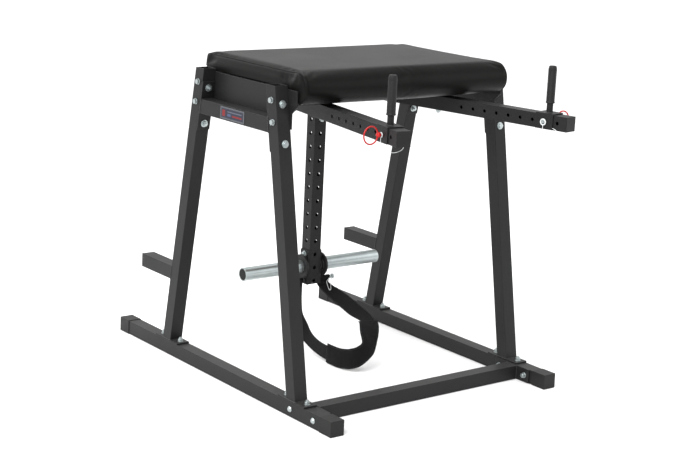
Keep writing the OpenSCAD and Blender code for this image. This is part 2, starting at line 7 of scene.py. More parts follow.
import json
import math

import bmesh
import bpy
from bpy.props import FloatProperty, FloatVectorProperty, IntProperty, PointerProperty
from mathutils import Matrix, Vector, noise
from mathutils.bvhtree import BVHTree


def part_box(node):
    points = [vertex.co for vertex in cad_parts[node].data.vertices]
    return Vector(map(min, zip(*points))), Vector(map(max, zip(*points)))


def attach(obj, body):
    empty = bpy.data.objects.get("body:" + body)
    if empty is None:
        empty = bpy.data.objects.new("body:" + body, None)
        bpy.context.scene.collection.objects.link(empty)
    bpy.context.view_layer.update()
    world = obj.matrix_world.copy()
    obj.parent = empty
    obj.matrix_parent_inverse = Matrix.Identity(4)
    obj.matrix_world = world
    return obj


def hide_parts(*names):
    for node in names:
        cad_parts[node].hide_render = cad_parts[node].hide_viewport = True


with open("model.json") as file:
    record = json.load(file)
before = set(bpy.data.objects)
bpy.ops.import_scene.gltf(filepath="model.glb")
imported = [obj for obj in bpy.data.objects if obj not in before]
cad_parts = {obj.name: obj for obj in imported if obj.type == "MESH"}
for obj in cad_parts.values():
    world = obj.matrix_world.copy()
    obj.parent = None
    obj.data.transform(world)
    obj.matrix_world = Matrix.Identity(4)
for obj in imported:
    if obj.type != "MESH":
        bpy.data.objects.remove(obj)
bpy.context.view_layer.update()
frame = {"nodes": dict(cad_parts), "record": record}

bl_info = {
    "name": "Pendulum bench dressing",
    "version": (1, 0, 0),
    "blender": (4, 5, 0),
    "location": "3D View > Sidebar > Bench",
    "description": "Builds the upholstery, strap, lanyards, welds and finishes of a pendulum bench",
    "category": "Object",
}

# Where the hand-post saddles sit, and how the arms turn outwards
ARM_X, ARM_Y, ARM_Z = 0.279, -0.2855, 0.983
ARM_SPLAY = math.radians(10.5)
SADDLE_AT = 0.364247
SADDLE_TOP = 0.0295

# Legs: feet, lean and rail position
RAIL_X, LEG_BASE_Z = 0.476, 0.05
FRONT_FOOT_Y, REAR_FOOT_Y = -0.3925, 0.3995
LEG_LEAN = math.tan(math.radians(10))
HALF_TUBE = 0.025
LEG_DEPTH = HALF_TUBE / math.cos(math.radians(10))

PIVOT_Y, PIVOT_Z = 0.2015, 1.01
HORN_Z, STRAP_PIN_Z, STRAP_X = 0.3245, 0.2684, 0.062
HUB_R, FLANGE_T = 0.03, 0.005

# Welded ends: tops of the foot plates, heights of the side tubes' and stubs' faces,
# edges of the base cross tube, and where the cross members meet the side plates
FOOT_BEAD_Z = 0.0585
SIDE_TUBE_FACES, STUB_FACES = (0.927, 0.977), (0.29, 0.34)
CROSS_TUBE_EDGES = ((-0.477, 0.0045), (-0.477, 0.052), (-0.427, 0.052), (-0.427, 0.0045))
INNER_FACE_X, MEMBER_Y, MEMBER_Z = 0.4458, (-0.175, 0.0395), 1.033
CARRIAGE_BEADS_X, CARRIAGE_BEAD_R = (0.029, 0.041), 0.028
POST_R = 0.011

# Pad: its front roll, and the round of its back edge
ROLL_R, BACK_R = 0.055, 0.014

# Where the strap is sewn back on itself behind each eye, along its route
SEWN_EYES = ((0.18, 0.55), (14.3, 14.62))
PIN_CLEAR_R = 0.0055

# Lanyards in their arm's own frame, X outwards and -Y towards the arm's tip
HANGING_LANYARD = [
    (-34, 0, -12), (-35, -1, -26), (-35, -3, -50), (-35, -8, -78), (-35, -16, -104),
    (-34, -27, -122), (-33, -39, -129), (-32, -51, -122), (-31, -60, -104), (-30, -65, -80),
    (-29, -66, -56), (-28.5, -61, -36), (-28, -50, -23), (-27.5, -35, -18),
]
CROSSING_LANYARD = [
    (31.3, 0, -9), (32.5, -1, -18), (33, -4, -30), (25, -10, -44), (8, -18, -53),
    (-10, -26, -53), (-25, -33, -45), (-32.5, -36, -33), (-33.5, -35, -23),
    (-32.5, -32, -18), (-29.5, -31, -17),
]
PIN_LOOP = [
    (101.2, 201.5, 259.5), (101, 201, 272), (95, 196, 277), (80, 187, 267),
    (67, 184, 256), (63, 173, 243), (56, 155, 235), (57, 149, 232), (64, 153, 235),
    (78, 173, 243), (87, 186, 252), (97, 193, 264), (103, 198, 269), (104.8, 201.5, 259.5),
]

# The strap's centre line, and the lean of its width from upright towards +X, in degrees
STRAP_ROUTE = [
    (-62, 201.5, 260.5, 90), (-63, 199, 190, 90), (-62, 188, 130, 56), (-55, 148, 84, 14),
    (-53, 88, 54, 0), (-53, 8, 42, 0), (-46, -76, 42, 0), (-27, -130, 58, -8),
    (12, -148, 90, -45), (38, -120, 128, -80), (84, -52, 160, -95), (88, 40, 181, -128),
    (81, 110, 205, -125), (72, 165, 224, -105), (62, 199, 244, -90), (62, 201.5, 260.5, -90),
]
CUFF_FROM, CUFF_TO = 5, 10


# ------------------------------------------------------------------ settings


def colour(name, description, default):
    return FloatVectorProperty(
        name=name, description=description, subtype="COLOR", size=3, min=0, max=1, default=default
    )


def length(name, description, default):
    return FloatProperty(name=name, description=description, unit="LENGTH", default=default, precision=5)


class FinishSettings(bpy.types.PropertyGroup):
    """Colours of the metal and plastic"""

    coat: colour("Powder coat", "Colour of the fine-textured coat on the tubes", (0.0115, 0.0113, 0.0118))
    zinc: colour("Zinc", "Colour of the plated horns, bolts and pins", (0.4, 0.45, 0.44))
    plastic: colour("Black plastic", "Colour of the end caps and plugs", (0.007, 0.007, 0.007))
    red: colour("Pull ring", "Colour of the rings and balls on the locking pins", (0.4, 0.012, 0.012))
    cord: colour("Lanyard", "Colour of the coated lanyards", (0.78, 0.8, 0.8))
    label_field: colour("Label field", "Dark field of the label plate", (0.012, 0.014, 0.03))
    label_patch: colour("Label patch", "Bright patches on the label plate", (0.16, 0.008, 0.008))
    label_border: colour("Label border", "Border of the label plate", (0.07, 0.075, 0.085))


class PadSettings(bpy.types.PropertyGroup):
    """Sizes and colour of the upholstery"""

    vinyl: colour("Vinyl", "Colour of the pad's cover", (0.0035, 0.0033, 0.0031))
    voxel: length("Mesh size", "Size of the cover's mesh", 0.006)
    tuck: length("Tuck", "How much smaller the cover is cut than the finished pad", 0.002)
    swell: length("Swell", "How far the foam may push the cover out", 0.007)
    pressure: FloatProperty(name="Foam pressure", description="Push of the foam on the cover", default=2.5)
    frames: IntProperty(name="Steps", description="Steps for which the cover settles", default=20, min=1)
    piping: length("Piping radius", "Radius of the piping round the end panels", 0.0022)


class StrapSettings(bpy.types.PropertyGroup):
    """Sizes and colours of the strap and its cuff"""

    webbing: colour("Webbing", "Colour of the strap", (0.0045, 0.0045, 0.0048))
    cuff: colour("Cuff", "Colour of the padded cuff", (0.003, 0.003, 0.0033))
    thread: colour("Thread", "Colour of the stitching", (0.05, 0.05, 0.052))
    width: length("Strap width", "Width of the webbing", 0.055)
    thickness: length("Strap thickness", "Thickness of the webbing", 0.0038)
    cuff_width: length("Cuff width", "Width of the padded cuff", 0.075)
    cuff_thickness: length("Cuff thickness", "Thickness of the cuff in the middle", 0.0118)


class DetailSettings(bpy.types.PropertyGroup):
    """Sizes of the small parts"""

    lanyard: length("Lanyard diameter", "Diameter of the lanyards", 0.002)
    weld: length("Weld radius", "Radius of the weld beads", 0.0021)
    grip_rib: length("Grip rib", "Height of the ribs on the soft grips", 0.0005)
    grip: colour("Grip", "Colour of the soft grips", (0.008, 0.008, 0.008))


class StageSettings(bpy.types.PropertyGroup):
    """Camera, floor and lights"""

    camera: FloatVectorProperty(
        name="Camera", description="Where the camera stands", subtype="TRANSLATION",
        unit="LENGTH", size=3, default=(-3.4396, -4.3996, 1.8113),
    )
    lens: FloatProperty(name="Lens", description="Focal length in millimetres", default=81.36)
    floor: colour("Floor", "Colour of the floor", (0.9, 0.9, 0.9))
    key: FloatProperty(name="Soft boxes", description="Power of the largest soft box", default=60.0)
    sun: FloatProperty(
        name="Main light", description="Strength of the broad light from the left", default=2.4
    )
    world: FloatProperty(
        name="Room light", description="Strength of the light from all round", default=0.85
    )


# ------------------------------------------------------------------ node helpers


def add(tree, kind, inputs=None, **settings):
    """One shader node, with its settings and its inputs set or linked."""
    made = tree.nodes.new(kind)
    for key, value in settings.items():
        setattr(made, key, value)
    for key, value in (inputs or {}).items():
        if isinstance(value, bpy.types.NodeSocket):
            tree.links.new(value, made.inputs[key])
        else:
            made.inputs[key].default_value = value
    return made


def maths(tree, operation, a, b=None):
    inputs = {0: a} if b is None else {0: a, 1: b}
    return add(tree, "ShaderNodeMath", inputs, operation=operation).outputs[0]


def spread(tree, value, low, high):
    """Maps 0..1 onto low..high."""
    return add(tree, "ShaderNodeMapRange", {"Value": value, "To Min": low, "To Max": high}).outputs[0]


def mixed(tree, factor, a, b):
    made = add(tree, "ShaderNodeMix", data_type="RGBA")
    for index, value in ((0, factor), (6, a), (7, b)):
        if isinstance(value, bpy.types.NodeSocket):
            tree.links.new(value, made.inputs[index])
        else:
            made.inputs[index].default_value = value if index == 0 else (*value[:3], 1)
    return made.outputs[2]


def grain_noise(tree, place, scale, detail=3.0, roughness=0.5):
    return add(
        tree, "ShaderNodeTexNoise",
        {"Vector": place, "Scale": scale, "Detail": detail, "Roughness": roughness},
    ).outputs[0]


def shade(base, amount):
    """A darker or lighter version of a colour."""
    return tuple(min(c * amount, 1) for c in base)


def new_group(name, inputs, outputs):
    group = bpy.data.node_groups.new(name, "ShaderNodeTree")
    for socket, kind, value in inputs:
        made = group.interface.new_socket(socket, in_out="INPUT", socket_type=kind)
        if value is not None:
            made.default_value = value
    for socket, kind in outputs:
        group.interface.new_socket(socket, in_out="OUTPUT", socket_type=kind)
    return group, add(group, "NodeGroupInput"), add(group, "NodeGroupOutput")


def edge_wear_group():
    """Softly rounded edges, with a mask of where the finish is rubbed along them."""
    group, given, out = new_group(
        "Edge wear",
        [("Place", "NodeSocketVector", None), ("Radius", "NodeSocketFloat", 0.002),
         ("Amount", "NodeSocketFloat", 0.5)],
        [("Normal", "NodeSocketVector"), ("Mask", "NodeSocketFloat")],
    )
    rounded = add(group, "ShaderNodeBevel", {"Radius": given.outputs["Radius"]}, samples=6)
    flat = add(group, "ShaderNodeNewGeometry")
    dot = add(
        group, "ShaderNodeVectorMath",
        {0: rounded.outputs[0], 1: flat.outputs["Normal"]}, operation="DOT_PRODUCT",
    )
    edge = maths(group, "MULTIPLY", maths(group, "SUBTRACT", 1.0, dot.outputs["Value"]), 4.0)
    patchy = spread(group, grain_noise(group, given.outputs["Place"], 60.0, 5.0), -0.6, 1.4)
    mask = maths(group, "MULTIPLY", maths(group, "MULTIPLY", edge, patchy), given.outputs["Amount"])
    clamped = add(group, "ShaderNodeClamp", {"Value": mask})
    group.links.new(rounded.outputs[0], out.inputs["Normal"])
    group.links.new(clamped.outputs[0], out.inputs["Mask"])
    return group


def speckle_group():
    """Broad mottling and a fine grain, as a coat or a moulding has."""
    group, given, out = new_group(
        "Mottle and grain",
        [("Place", "NodeSocketVector", None), ("Mottle size", "NodeSocketFloat", 6.0),
         ("Grain size", "NodeSocketFloat", 900.0)],
        [("Mottle", "NodeSocketFloat"), ("Grain", "NodeSocketFloat")],
    )
    broad = grain_noise(group, given.outputs["Place"], given.outputs["Mottle size"], 4.0, 0.6)
    fine = grain_noise(group, given.outputs["Place"], given.outputs["Grain size"], 2.0, 0.6)
    group.links.new(spread(group, broad, -0.4, 1.4), out.inputs["Mottle"])
    group.links.new(fine, out.inputs["Grain"])
    return group


def dust_group():
    """A thin settling of dust on what faces up, thicker low down."""
    group, given, out = new_group(
        "Settled dust",
        [("Place", "NodeSocketVector", None), ("Amount", "NodeSocketFloat", 0.15)],
        [("Mask", "NodeSocketFloat")],
    )
    facing = add(group, "ShaderNodeNewGeometry")
    up = add(group, "ShaderNodeSeparateXYZ", {0: facing.outputs["Normal"]}).outputs[2]
    height = add(group, "ShaderNodeSeparateXYZ", {0: given.outputs["Place"]}).outputs[2]
    low = add(
        group, "ShaderNodeMapRange",
        {"Value": height, "From Min": 0.0, "From Max": 0.6, "To Min": 1.0, "To Max": 0.3},
    ).outputs[0]
    clumps = spread(group, grain_noise(group, given.outputs["Place"], 90.0, 6.0, 0.7), 0.2, 1.2)
    mask = maths(group, "MULTIPLY", maths(group, "MULTIPLY", up, low), clumps)
    mask = maths(group, "MULTIPLY", mask, given.outputs["Amount"])
    clamped = add(group, "ShaderNodeClamp", {"Value": mask})
    group.links.new(clamped.outputs[0], out.inputs["Mask"])
    return group


def weave_group():
    """Crossing yarns laid along a run of cloth: place is metres across and along it. Its Shade output is
    painted shade, dark between the yarns and light on their crowns.
    """
    group, given, out = new_group(
        "Weave",
        [("Run", "NodeSocketVector", None), ("Warp pitch", "NodeSocketFloat", 0.0022),
         ("Weft pitch", "NodeSocketFloat", 0.0016)],
        [("Height", "NodeSocketFloat"), ("Shade", "NodeSocketFloat")],
    )
    split = add(group, "ShaderNodeSeparateXYZ", {0: given.outputs["Run"]})
    across, along = (
        maths(group, "MULTIPLY", maths(group, "DIVIDE", place, given.outputs[pitch]), 2 * math.pi)
        for place, pitch in zip(split.outputs, ("Warp pitch", "Weft pitch"))
    )
    slant = maths(group, "ADD", along, maths(group, "MULTIPLY", across, 0.5))
    ribs = maths(group, "ABSOLUTE", maths(group, "SINE", maths(group, "MULTIPLY", across, 0.5)))
    picks = maths(group, "ABSOLUTE", maths(group, "SINE", maths(group, "MULTIPLY", slant, 0.5)))
    height = maths(group, "MULTIPLY", maths(group, "POWER", ribs, 0.6), maths(group, "POWER", picks, 0.6))
    fuzz = grain_noise(group, given.outputs["Run"], 1500.0, 2.0)
    # painted shade and painted highlight: the yarns' crowns lighter and the gaps between them darker, varied
    # at random by the fuzz
    painted_shade_and_fuzz = maths(group, "MULTIPLY", height, spread(group, fuzz, 0.6, 1.3))
    group.links.new(height, out.inputs["Height"])
    group.links.new(painted_shade_and_fuzz, out.inputs["Shade"])
    return group


GROUPS = {
    "edge": edge_wear_group(), "speckle": speckle_group(),
    "dust": dust_group(), "weave": weave_group(),
}


def use_group(tree, name, inputs):
    return add(tree, "ShaderNodeGroup", inputs, node_tree=GROUPS[name])


def new_material(name, constants):
    """An empty material: its tree, its shader and the place of each point on the piece."""
    material = bpy.data.materials.new(name)
    material.use_nodes = True
    tree = material.node_tree
    shader = tree.nodes["Principled BSDF"]
    for socket, value in constants.items():
        shader.inputs[socket].default_value = value
    place = add(tree, "ShaderNodeTexCoord").outputs["Object"]
    return material, tree, shader, place


def feed(tree, shader, links):
    for socket, source in links.items():
        tree.links.new(source, shader.inputs[socket])


def bump(tree, height, strength, distance, normal=None):
    inputs = {"Height": height, "Strength": strength, "Distance": distance}
    if normal is not None:
        inputs["Normal"] = normal
    return add(tree, "ShaderNodeBump", inputs).outputs[0]


# ------------------------------------------------------------------ materials


def powder_coat(base):
    material, tree, shader, place = new_material(
        "powder_coat", {"Metallic": 0.0, "Specular IOR Level": 0.16})
    specks = use_group(tree, "speckle", {"Place": place, "Mottle size": 7.0, "Grain size": 750.0})
    edge = use_group(tree, "edge", {"Place": place, "Radius": 0.0028, "Amount": 0.35})
    dust = use_group(tree, "dust", {"Place": place, "Amount": 0.1})
    tone = mixed(tree, specks.outputs["Mottle"], shade(base, 0.85), shade(base, 1.18))
    tone = mixed(tree, spread(tree, specks.outputs["Grain"], -0.2, 0.7), tone, shade(base, 1.5))
    tone = mixed(tree, edge.outputs["Mask"], tone, shade(base, 3.0))
    tone = mixed(tree, dust.outputs["Mask"], tone, (0.3, 0.29, 0.28))
    rough = spread(tree, specks.outputs["Mottle"], 0.36, 0.48)
    feed(tree, shader, {
        "Base Color": tone, "Roughness": rough,
        "Normal": bump(tree, specks.outputs["Grain"], 0.22, 0.0004, edge.outputs["Normal"]),
    })
    return material


def weld_metal(base):
    material, tree, shader, place = new_material("coated_weld", {"Metallic": 0.0})
    specks = use_group(tree, "speckle", {"Place": place, "Mottle size": 60.0, "Grain size": 700.0})
    tone = mixed(tree, specks.outputs["Mottle"], shade(base, 0.8), shade(base, 1.4))
    feed(tree, shader, {
        "Base Color": tone, "Roughness": spread(tree, specks.outputs["Mottle"], 0.34, 0.46),
        "Normal": bump(tree, specks.outputs["Grain"], 0.25, 0.0004),
    })
    return material


def zinc_plate(base):
    material, tree, shader, place = new_material("zinc_plate", {"Anisotropic": 0.3})
    stretched = add(tree, "ShaderNodeMapping", {"Vector": place, "Scale": (6.0, 60.0, 60.0)}).outputs[0]
    streaks = grain_noise(tree, stretched, 9.0, 6.0, 0.65)
    specks = use_group(tree, "speckle", {"Place": place, "Mottle size": 28.0, "Grain size": 1400.0})
    edge = use_group(tree, "edge", {"Place": place, "Radius": 0.0008, "Amount": 0.3})
    tone = mixed(tree, specks.outputs["Mottle"], shade(base, 0.86), shade(base, 1.12))
    tone = mixed(tree, spread(tree, streaks, -0.3, 0.8), tone, (0.5, 0.53, 0.57))
    tone = mixed(tree, edge.outputs["Mask"], tone, (0.9, 0.92, 0.92))
    feed(tree, shader, {
        "Base Color": tone,
        "Metallic": spread(tree, specks.outputs["Mottle"], 0.86, 0.98),
        "Roughness": spread(tree, streaks, 0.22, 0.44),
        "Normal": bump(tree, streaks, 0.08, 0.0005, edge.outputs["Normal"]),
    })
    return material


def moulded_plastic(name, base, roughness, grain=500.0, strength=0.18):
    material, tree, shader, place = new_material(name, {"Specular IOR Level": 0.25})
    specks = use_group(tree, "speckle", {"Place": place, "Mottle size": 22.0, "Grain size": grain})
    edge = use_group(tree, "edge", {"Place": place, "Radius": 0.0016, "Amount": 0.25})
    dust = use_group(tree, "dust", {"Place": place, "Amount": 0.08})
    tone = mixed(tree, specks.outputs["Mottle"], shade(base, 0.8), shade(base, 1.25))
    tone = mixed(tree, edge.outputs["Mask"], tone, shade(base, 2.6))
    tone = mixed(tree, dust.outputs["Mask"], tone, (0.3, 0.3, 0.29))
    feed(tree, shader, {
        "Base Color": tone,
        "Roughness": spread(tree, specks.outputs["Mottle"], roughness - 0.06, roughness + 0.08),
        "Normal": bump(tree, specks.outputs["Grain"], strength, 0.0004, edge.outputs["Normal"]),
    })
    return material


def grained_vinyl(name, base):
    """Upholstery vinyl: small uneven pebbles with fine creases between them, with painted shade darkening the
    creases.
    """
    material, tree, shader, place = new_material(
        name, {"Specular IOR Level": 0.07, "Sheen Weight": 0.01, "Sheen Roughness": 0.4,
               "Sheen Tint": (0.75, 0.7, 0.66, 1)})
    warp = add(tree, "ShaderNodeTexNoise", {"Vector": place, "Scale": 160.0, "Detail": 2.0}).outputs["Color"]
    bent = add(tree, "ShaderNodeMix", {0: 0.012, 4: place, 5: warp}, data_type="VECTOR").outputs[1]
    cells = add(
        tree, "ShaderNodeTexVoronoi", {"Vector": bent, "Scale": 420.0}, feature="DISTANCE_TO_EDGE"
    ).outputs[0]
    creases = spread(tree, maths(tree, "MINIMUM", maths(tree, "MULTIPLY", cells, 5.0), 1.0), 0.0, 1.0)
    specks = use_group(tree, "speckle", {"Place": place, "Mottle size": 5.0, "Grain size": 1200.0})
    # painted shade: the creases between the pebbles are coloured darker and the pebbles' tops a little
    # lighter
    tone = mixed(tree, creases, shade(base, 0.6), shade(base, 1.2))
    tone = mixed(tree, spread(tree, specks.outputs["Mottle"], 0.0, 0.5), tone, shade(base, 1.5))
    height = maths(tree, "ADD", creases, maths(tree, "MULTIPLY", specks.outputs["Grain"], 0.35))
    feed(tree, shader, {
        "Base Color": tone,
        "Roughness": spread(tree, specks.outputs["Mottle"], 0.31, 0.39),
        "Coat Weight": spread(tree, specks.outputs["Mottle"], 0.01, 0.05),
        "Normal": bump(tree, height, 0.14, 0.0005),
    })
    shader.inputs["Coat Roughness"].default_value = 0.3
    return material


def plywood():
    material, tree, shader, place = new_material("plywood", {"Specular IOR Level": 0.3})
    stretched = add(tree, "ShaderNodeMapping", {"Vector": place, "Scale": (4.0, 60.0, 20.0)}).outputs[0]
    figure = grain_noise(tree, stretched, 2.2, 6.0, 0.6)
    plies = add(
        tree, "ShaderNodeTexWave", {"Vector": place, "Scale": 52.0, "Distortion": 0.4},
        bands_direction="Z",
    ).outputs[1]
    tone = mixed(tree, figure, (0.28, 0.17, 0.085), (0.6, 0.43, 0.25))
    tone = mixed(tree, maths(tree, "MULTIPLY", plies, 0.35), tone, (0.2, 0.12, 0.06))
    feed(tree, shader, {
        "Base Color": tone, "Roughness": spread(tree, figure, 0.6, 0.8),
        "Normal": bump(tree, figure, 0.2, 0.0006),
    })
    return material


def oiled_bronze():
    material, tree, shader, place = new_material("oiled_bronze", {})
    specks = use_group(tree, "speckle", {"Place": place, "Mottle size": 60.0, "Grain size": 900.0})
    edge = use_group(tree, "edge", {"Place": place, "Radius": 0.0006, "Amount": 0.5})
    tone = mixed(tree, specks.outputs["Mottle"], (0.42, 0.27, 0.12), (0.62, 0.44, 0.22))
    feed(tree, shader, {
        "Base Color": mixed(tree, edge.outputs["Mask"], tone, (0.8, 0.62, 0.36)),
        "Metallic": spread(tree, specks.outputs["Mottle"], 0.85, 1.0),
        "Roughness": spread(tree, specks.outputs["Mottle"], 0.3, 0.5),
        "Normal": bump(tree, specks.outputs["Grain"], 0.1, 0.0003, edge.outputs["Normal"]),
    })
    return material


def woven(name, base, warp, weft, strength):
    """Webbing or cuff cloth: its yarns follow the run of the strap."""
    material, tree, shader, place = new_material(
        name, {"Specular IOR Level": 0.12, "Sheen Weight": 0.015, "Sheen Roughness": 0.45,
               "Sheen Tint": (0.7, 0.7, 0.72, 1)})
    run = add(tree, "ShaderNodeUVMap", uv_map="run").outputs[0]
    weave = use_group(tree, "weave", {"Run": run, "Warp pitch": warp, "Weft pitch": weft})
    specks = use_group(tree, "speckle", {"Place": place, "Mottle size": 18.0, "Grain size": 1600.0})
    # painted shade and painted highlight: the weave's Shade darkens the cloth between the yarns and lightens
    # their crowns
    tone = mixed(tree, weave.outputs["Shade"], shade(base, 0.45), shade(base, 2.2))
    tone = mixed(tree, spread(tree, specks.outputs["Mottle"], 0.0, 0.3), tone, shade(base, 2.0))
    fuzz = maths(tree, "MULTIPLY", specks.outputs["Grain"], 0.3)
    height = maths(tree, "ADD", weave.outputs["Height"], fuzz)
    feed(tree, shader, {
        "Base Color": tone, "Roughness": spread(tree, specks.outputs["Mottle"], 0.62, 0.82),
        "Normal": bump(tree, height, strength, 0.0008),
    })
    return material


def coated_cord(base):
    material, tree, shader, place = new_material(
        "coated_cord", {"Specular IOR Level": 0.5, "Subsurface Weight": 0.0})
    twist = add(
        tree, "ShaderNodeTexWave", {"Vector": place, "Scale": 420.0, "Distortion": 1.5},
        bands_direction="DIAGONAL",
    ).outputs[1]
    specks = use_group(tree, "speckle", {"Place": place, "Mottle size": 90.0, "Grain size": 1500.0})
    # painted shade: the grooves of the twist are coloured darker than its ridges
    tone = mixed(tree, twist, shade(base, 0.72), base)
    feed(tree, shader, {
        "Base Color": mixed(tree, spread(tree, specks.outputs["Mottle"], 0.0, 0.3), tone, (0.6, 0.62, 0.64)),
        "Roughness": spread(tree, specks.outputs["Mottle"], 0.25, 0.4),
        "Normal": bump(tree, twist, 0.25, 0.0004),
    })
    return material


def between(tree, value, low, high):
    """A mask that is one where value lies from low to high."""
    return maths(
        tree, "MULTIPLY", maths(tree, "GREATER_THAN", value, low), maths(tree, "LESS_THAN", value, high))


def label_print(settings):
    """A printed film: a border, a dark field, plain coloured patches and thin bars."""
    material, tree, shader, place = new_material("label_print", {"Specular IOR Level": 0.25})
    low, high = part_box("id_plate")
    split = add(tree, "ShaderNodeSeparateXYZ", {0: place})
    run = add(
        tree, "ShaderNodeMapRange",
        {"Value": split.outputs[1], "From Min": high.y, "From Max": low.y},
    ).outputs[0]
    rise = add(
        tree, "ShaderNodeMapRange",
        {"Value": split.outputs[2], "From Min": low.z, "From Max": high.z},
    ).outputs[0]

    def patch(u0, u1, v0, v1):
        return maths(tree, "MULTIPLY", between(tree, run, u0, u1), between(tree, rise, v0, v1))

    specks = use_group(tree, "speckle", {"Place": place, "Mottle size": 40.0, "Grain size": 1500.0})
    edge = use_group(tree, "edge", {"Place": place, "Radius": 0.0005, "Amount": 0.6})
    tone = mixed(tree, patch(0.04, 0.96, 0.12, 0.88), settings.label_border, settings.label_field)
    tone = mixed(tree, patch(0.08, 0.2, 0.24, 0.76), tone, settings.label_patch)
    tone = mixed(tree, patch(0.5, 0.9, 0.3, 0.44), tone, settings.label_patch)
    tone = mixed(tree, patch(0.3, 0.9, 0.62, 0.7), tone, (0.09, 0.1, 0.13))
    tone = mixed(tree, patch(0.3, 0.44, 0.3, 0.5), tone, (0.05, 0.07, 0.14))
    tone = mixed(tree, maths(tree, "MULTIPLY", edge.outputs["Mask"], 0.6), tone, (0.7, 0.7, 0.7))
    feed(tree, shader, {
        "Base Color": tone,
        "Roughness": spread(tree, specks.outputs["Mottle"], 0.24, 0.36),
        "Normal": bump(tree, specks.outputs["Grain"], 0.05, 0.0002, edge.outputs["Normal"]),
    })
    return material


# ------------------------------------------------------------------ making meshes


def add_piece(name, mesh_or_curve, material, body):
    """Puts a piece in the scene, with its finish, riding on its body."""
    piece = bpy.data.objects.new(name, mesh_or_curve)
    bpy.context.scene.collection.objects.link(piece)
    if material is not None:
        piece.data.materials.clear()
        piece.data.materials.append(material)
    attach(piece, body)
    return piece


def mesh_from(name, points, faces, runs=None, smooth=True):
    """A mesh, with an optional map of metres across and along it."""
    mesh = bpy.data.meshes.new(name)
    mesh.from_pydata([tuple(p) for p in points], [], faces)
    if runs is not None:
        layer = mesh.uv_layers.new(name="run")
        for loop in mesh.loops:
            layer.data[loop.index].uv = runs[loop.vertex_index]
    if smooth:
        mesh.polygons.foreach_set("use_smooth", [True] * len(mesh.polygons))
    mesh.update()
    return mesh


class Batch:
    """Collects many small closed shapes into one mesh."""

    def __init__(self):
        self.points, self.faces, self.runs = [], [], []

    def skin(self, rings, closed=False, runs=None):
        """Joins rings of points into a tube, capped unless it closes on itself."""
        first, n = len(self.points), len(rings[0])
        for i, ring in enumerate(rings):
            self.points.extend(ring)
            self.runs.extend(runs[i] if runs else [(0.0, 0.0)] * n)
        count = len(rings)
        for i in range(count if closed else count - 1):
            for j in range(n):
                a, b = first + i * n + j, first + i * n + (j + 1) % n
                c, d = first + (i + 1) % count * n + (j + 1) % n, first + (i + 1) % count * n + j
                self.faces.append((a, b, c, d))
        if not closed:
            self.faces.append(tuple(first + j for j in range(n))[::-1])
            self.faces.append(tuple(first + (count - 1) * n + j for j in range(n)))

    def mesh(self, name, with_runs=False):
        mesh = mesh_from(name, self.points, self.faces, self.runs if with_runs else None)
        shape = bmesh.new()
        shape.from_mesh(mesh)
        bmesh.ops.recalc_face_normals(shape, faces=shape.faces)
        shape.to_mesh(mesh)
        shape.free()
        return mesh


def arm_point(side, x, y, z):
    """A point in an arm's own frame at its saddle, in metres: X outwards, -Y to the tip."""
    turn = side * ARM_SPLAY
    across, along = side * x, y - SADDLE_AT
    return Vector((
        side * ARM_X + across * math.cos(turn) - along * math.sin(turn),
        ARM_Y + across * math.sin(turn) + along * math.cos(turn),
        ARM_Z + z,
    ))


def on_curve(route, at):
    """A point on the smooth curve through a route, at a whole and fractional index."""
    i = min(int(at), len(route) - 2)
    t = at - i
    near = (route[max(i - 1, 0)], route[i], route[i + 1], route[min(i + 2, len(route) - 1)])
    return [
        0.5 * (2 * q + (r - p) * t + (2 * p - 5 * q + 4 * r - s) * t * t + (3 * q - p - 3 * r + s) * t ** 3)
        for p, q, r, s in zip(*near)
    ]


def resampled(points, step, closed=False):
    """The same line with a point every step."""
    line = list(points) + ([points[0]] if closed else [])
    out = [line[0].copy()]
    left = step
    for a, b in zip(line, line[1:]):
        run, gone = (b - a).length, 0.0
        while run - gone >= left:
            gone += left
            out.append(a.lerp(b, gone / run))
            left = step
        left -= run - gone
    return out


def tube_rings(points, radius, sides, closed=False):
    """Rings round a line; radius is a number or a function of the point's index."""
    rings, normal = [], None
    count = len(points)
    for i, p in enumerate(points):
        ahead = points[(i + 1) % count] if closed or i < count - 1 else p
        behind = points[i - 1] if closed or i > 0 else p
        way = (ahead - behind).normalized()
        if normal is None:
            normal = way.orthogonal().normalized()
        normal = (normal - way * normal.dot(way)).normalized()
        other = way.cross(normal)
        r = radius(i) if callable(radius) else radius
        rings.append([
            p + r * (normal * math.cos(2 * math.pi * k / sides) + other * math.sin(2 * math.pi * k / sides))
            for k in range(sides)
        ])
    return rings


def weld_bead(batch, corners, radius, closed=True):
    """A rippled bead of weld along a line of corners."""
    line = resampled([Vector(c) for c in corners], 0.0011, closed)
    if closed and (line[-1] - line[0]).length < 0.0008:
        line.pop()
    ripple = lambda i: radius * (0.86 + 0.16 * math.sin(i * 1.35) + 0.05 * math.sin(i * 0.31))
    batch.skin(tube_rings(line, ripple, 8, closed), closed)


def circle_corners(centre, u, v, radius, count=40):
    return [
        centre + radius * (u * math.cos(2 * math.pi * k / count) + v * math.sin(2 * math.pi * k / count))
        for k in range(count)
    ]


def stitch(batch, start, end, up, radius=0.0004):
    """One short stitch that dips into the cloth at both ends."""
    line = []
    for k in range(7):
        t = k / 6
        lift = math.sin(math.pi * t) * radius * 1.6 - radius * 0.5
        line.append(start.lerp(end, t) + up * lift)
    batch.skin(tube_rings(line, radius, 6))


def paint(slot, material):
    """Gives a finish to each CAD node of one material slot."""
    for part in frame["record"]["subparts"]:
        if part["material_slot"] == slot:
            node = frame["nodes"][part["node"]]
            node.data.materials.clear()
            node.data.materials.append(material)


# ------------------------------------------------------------------ operators


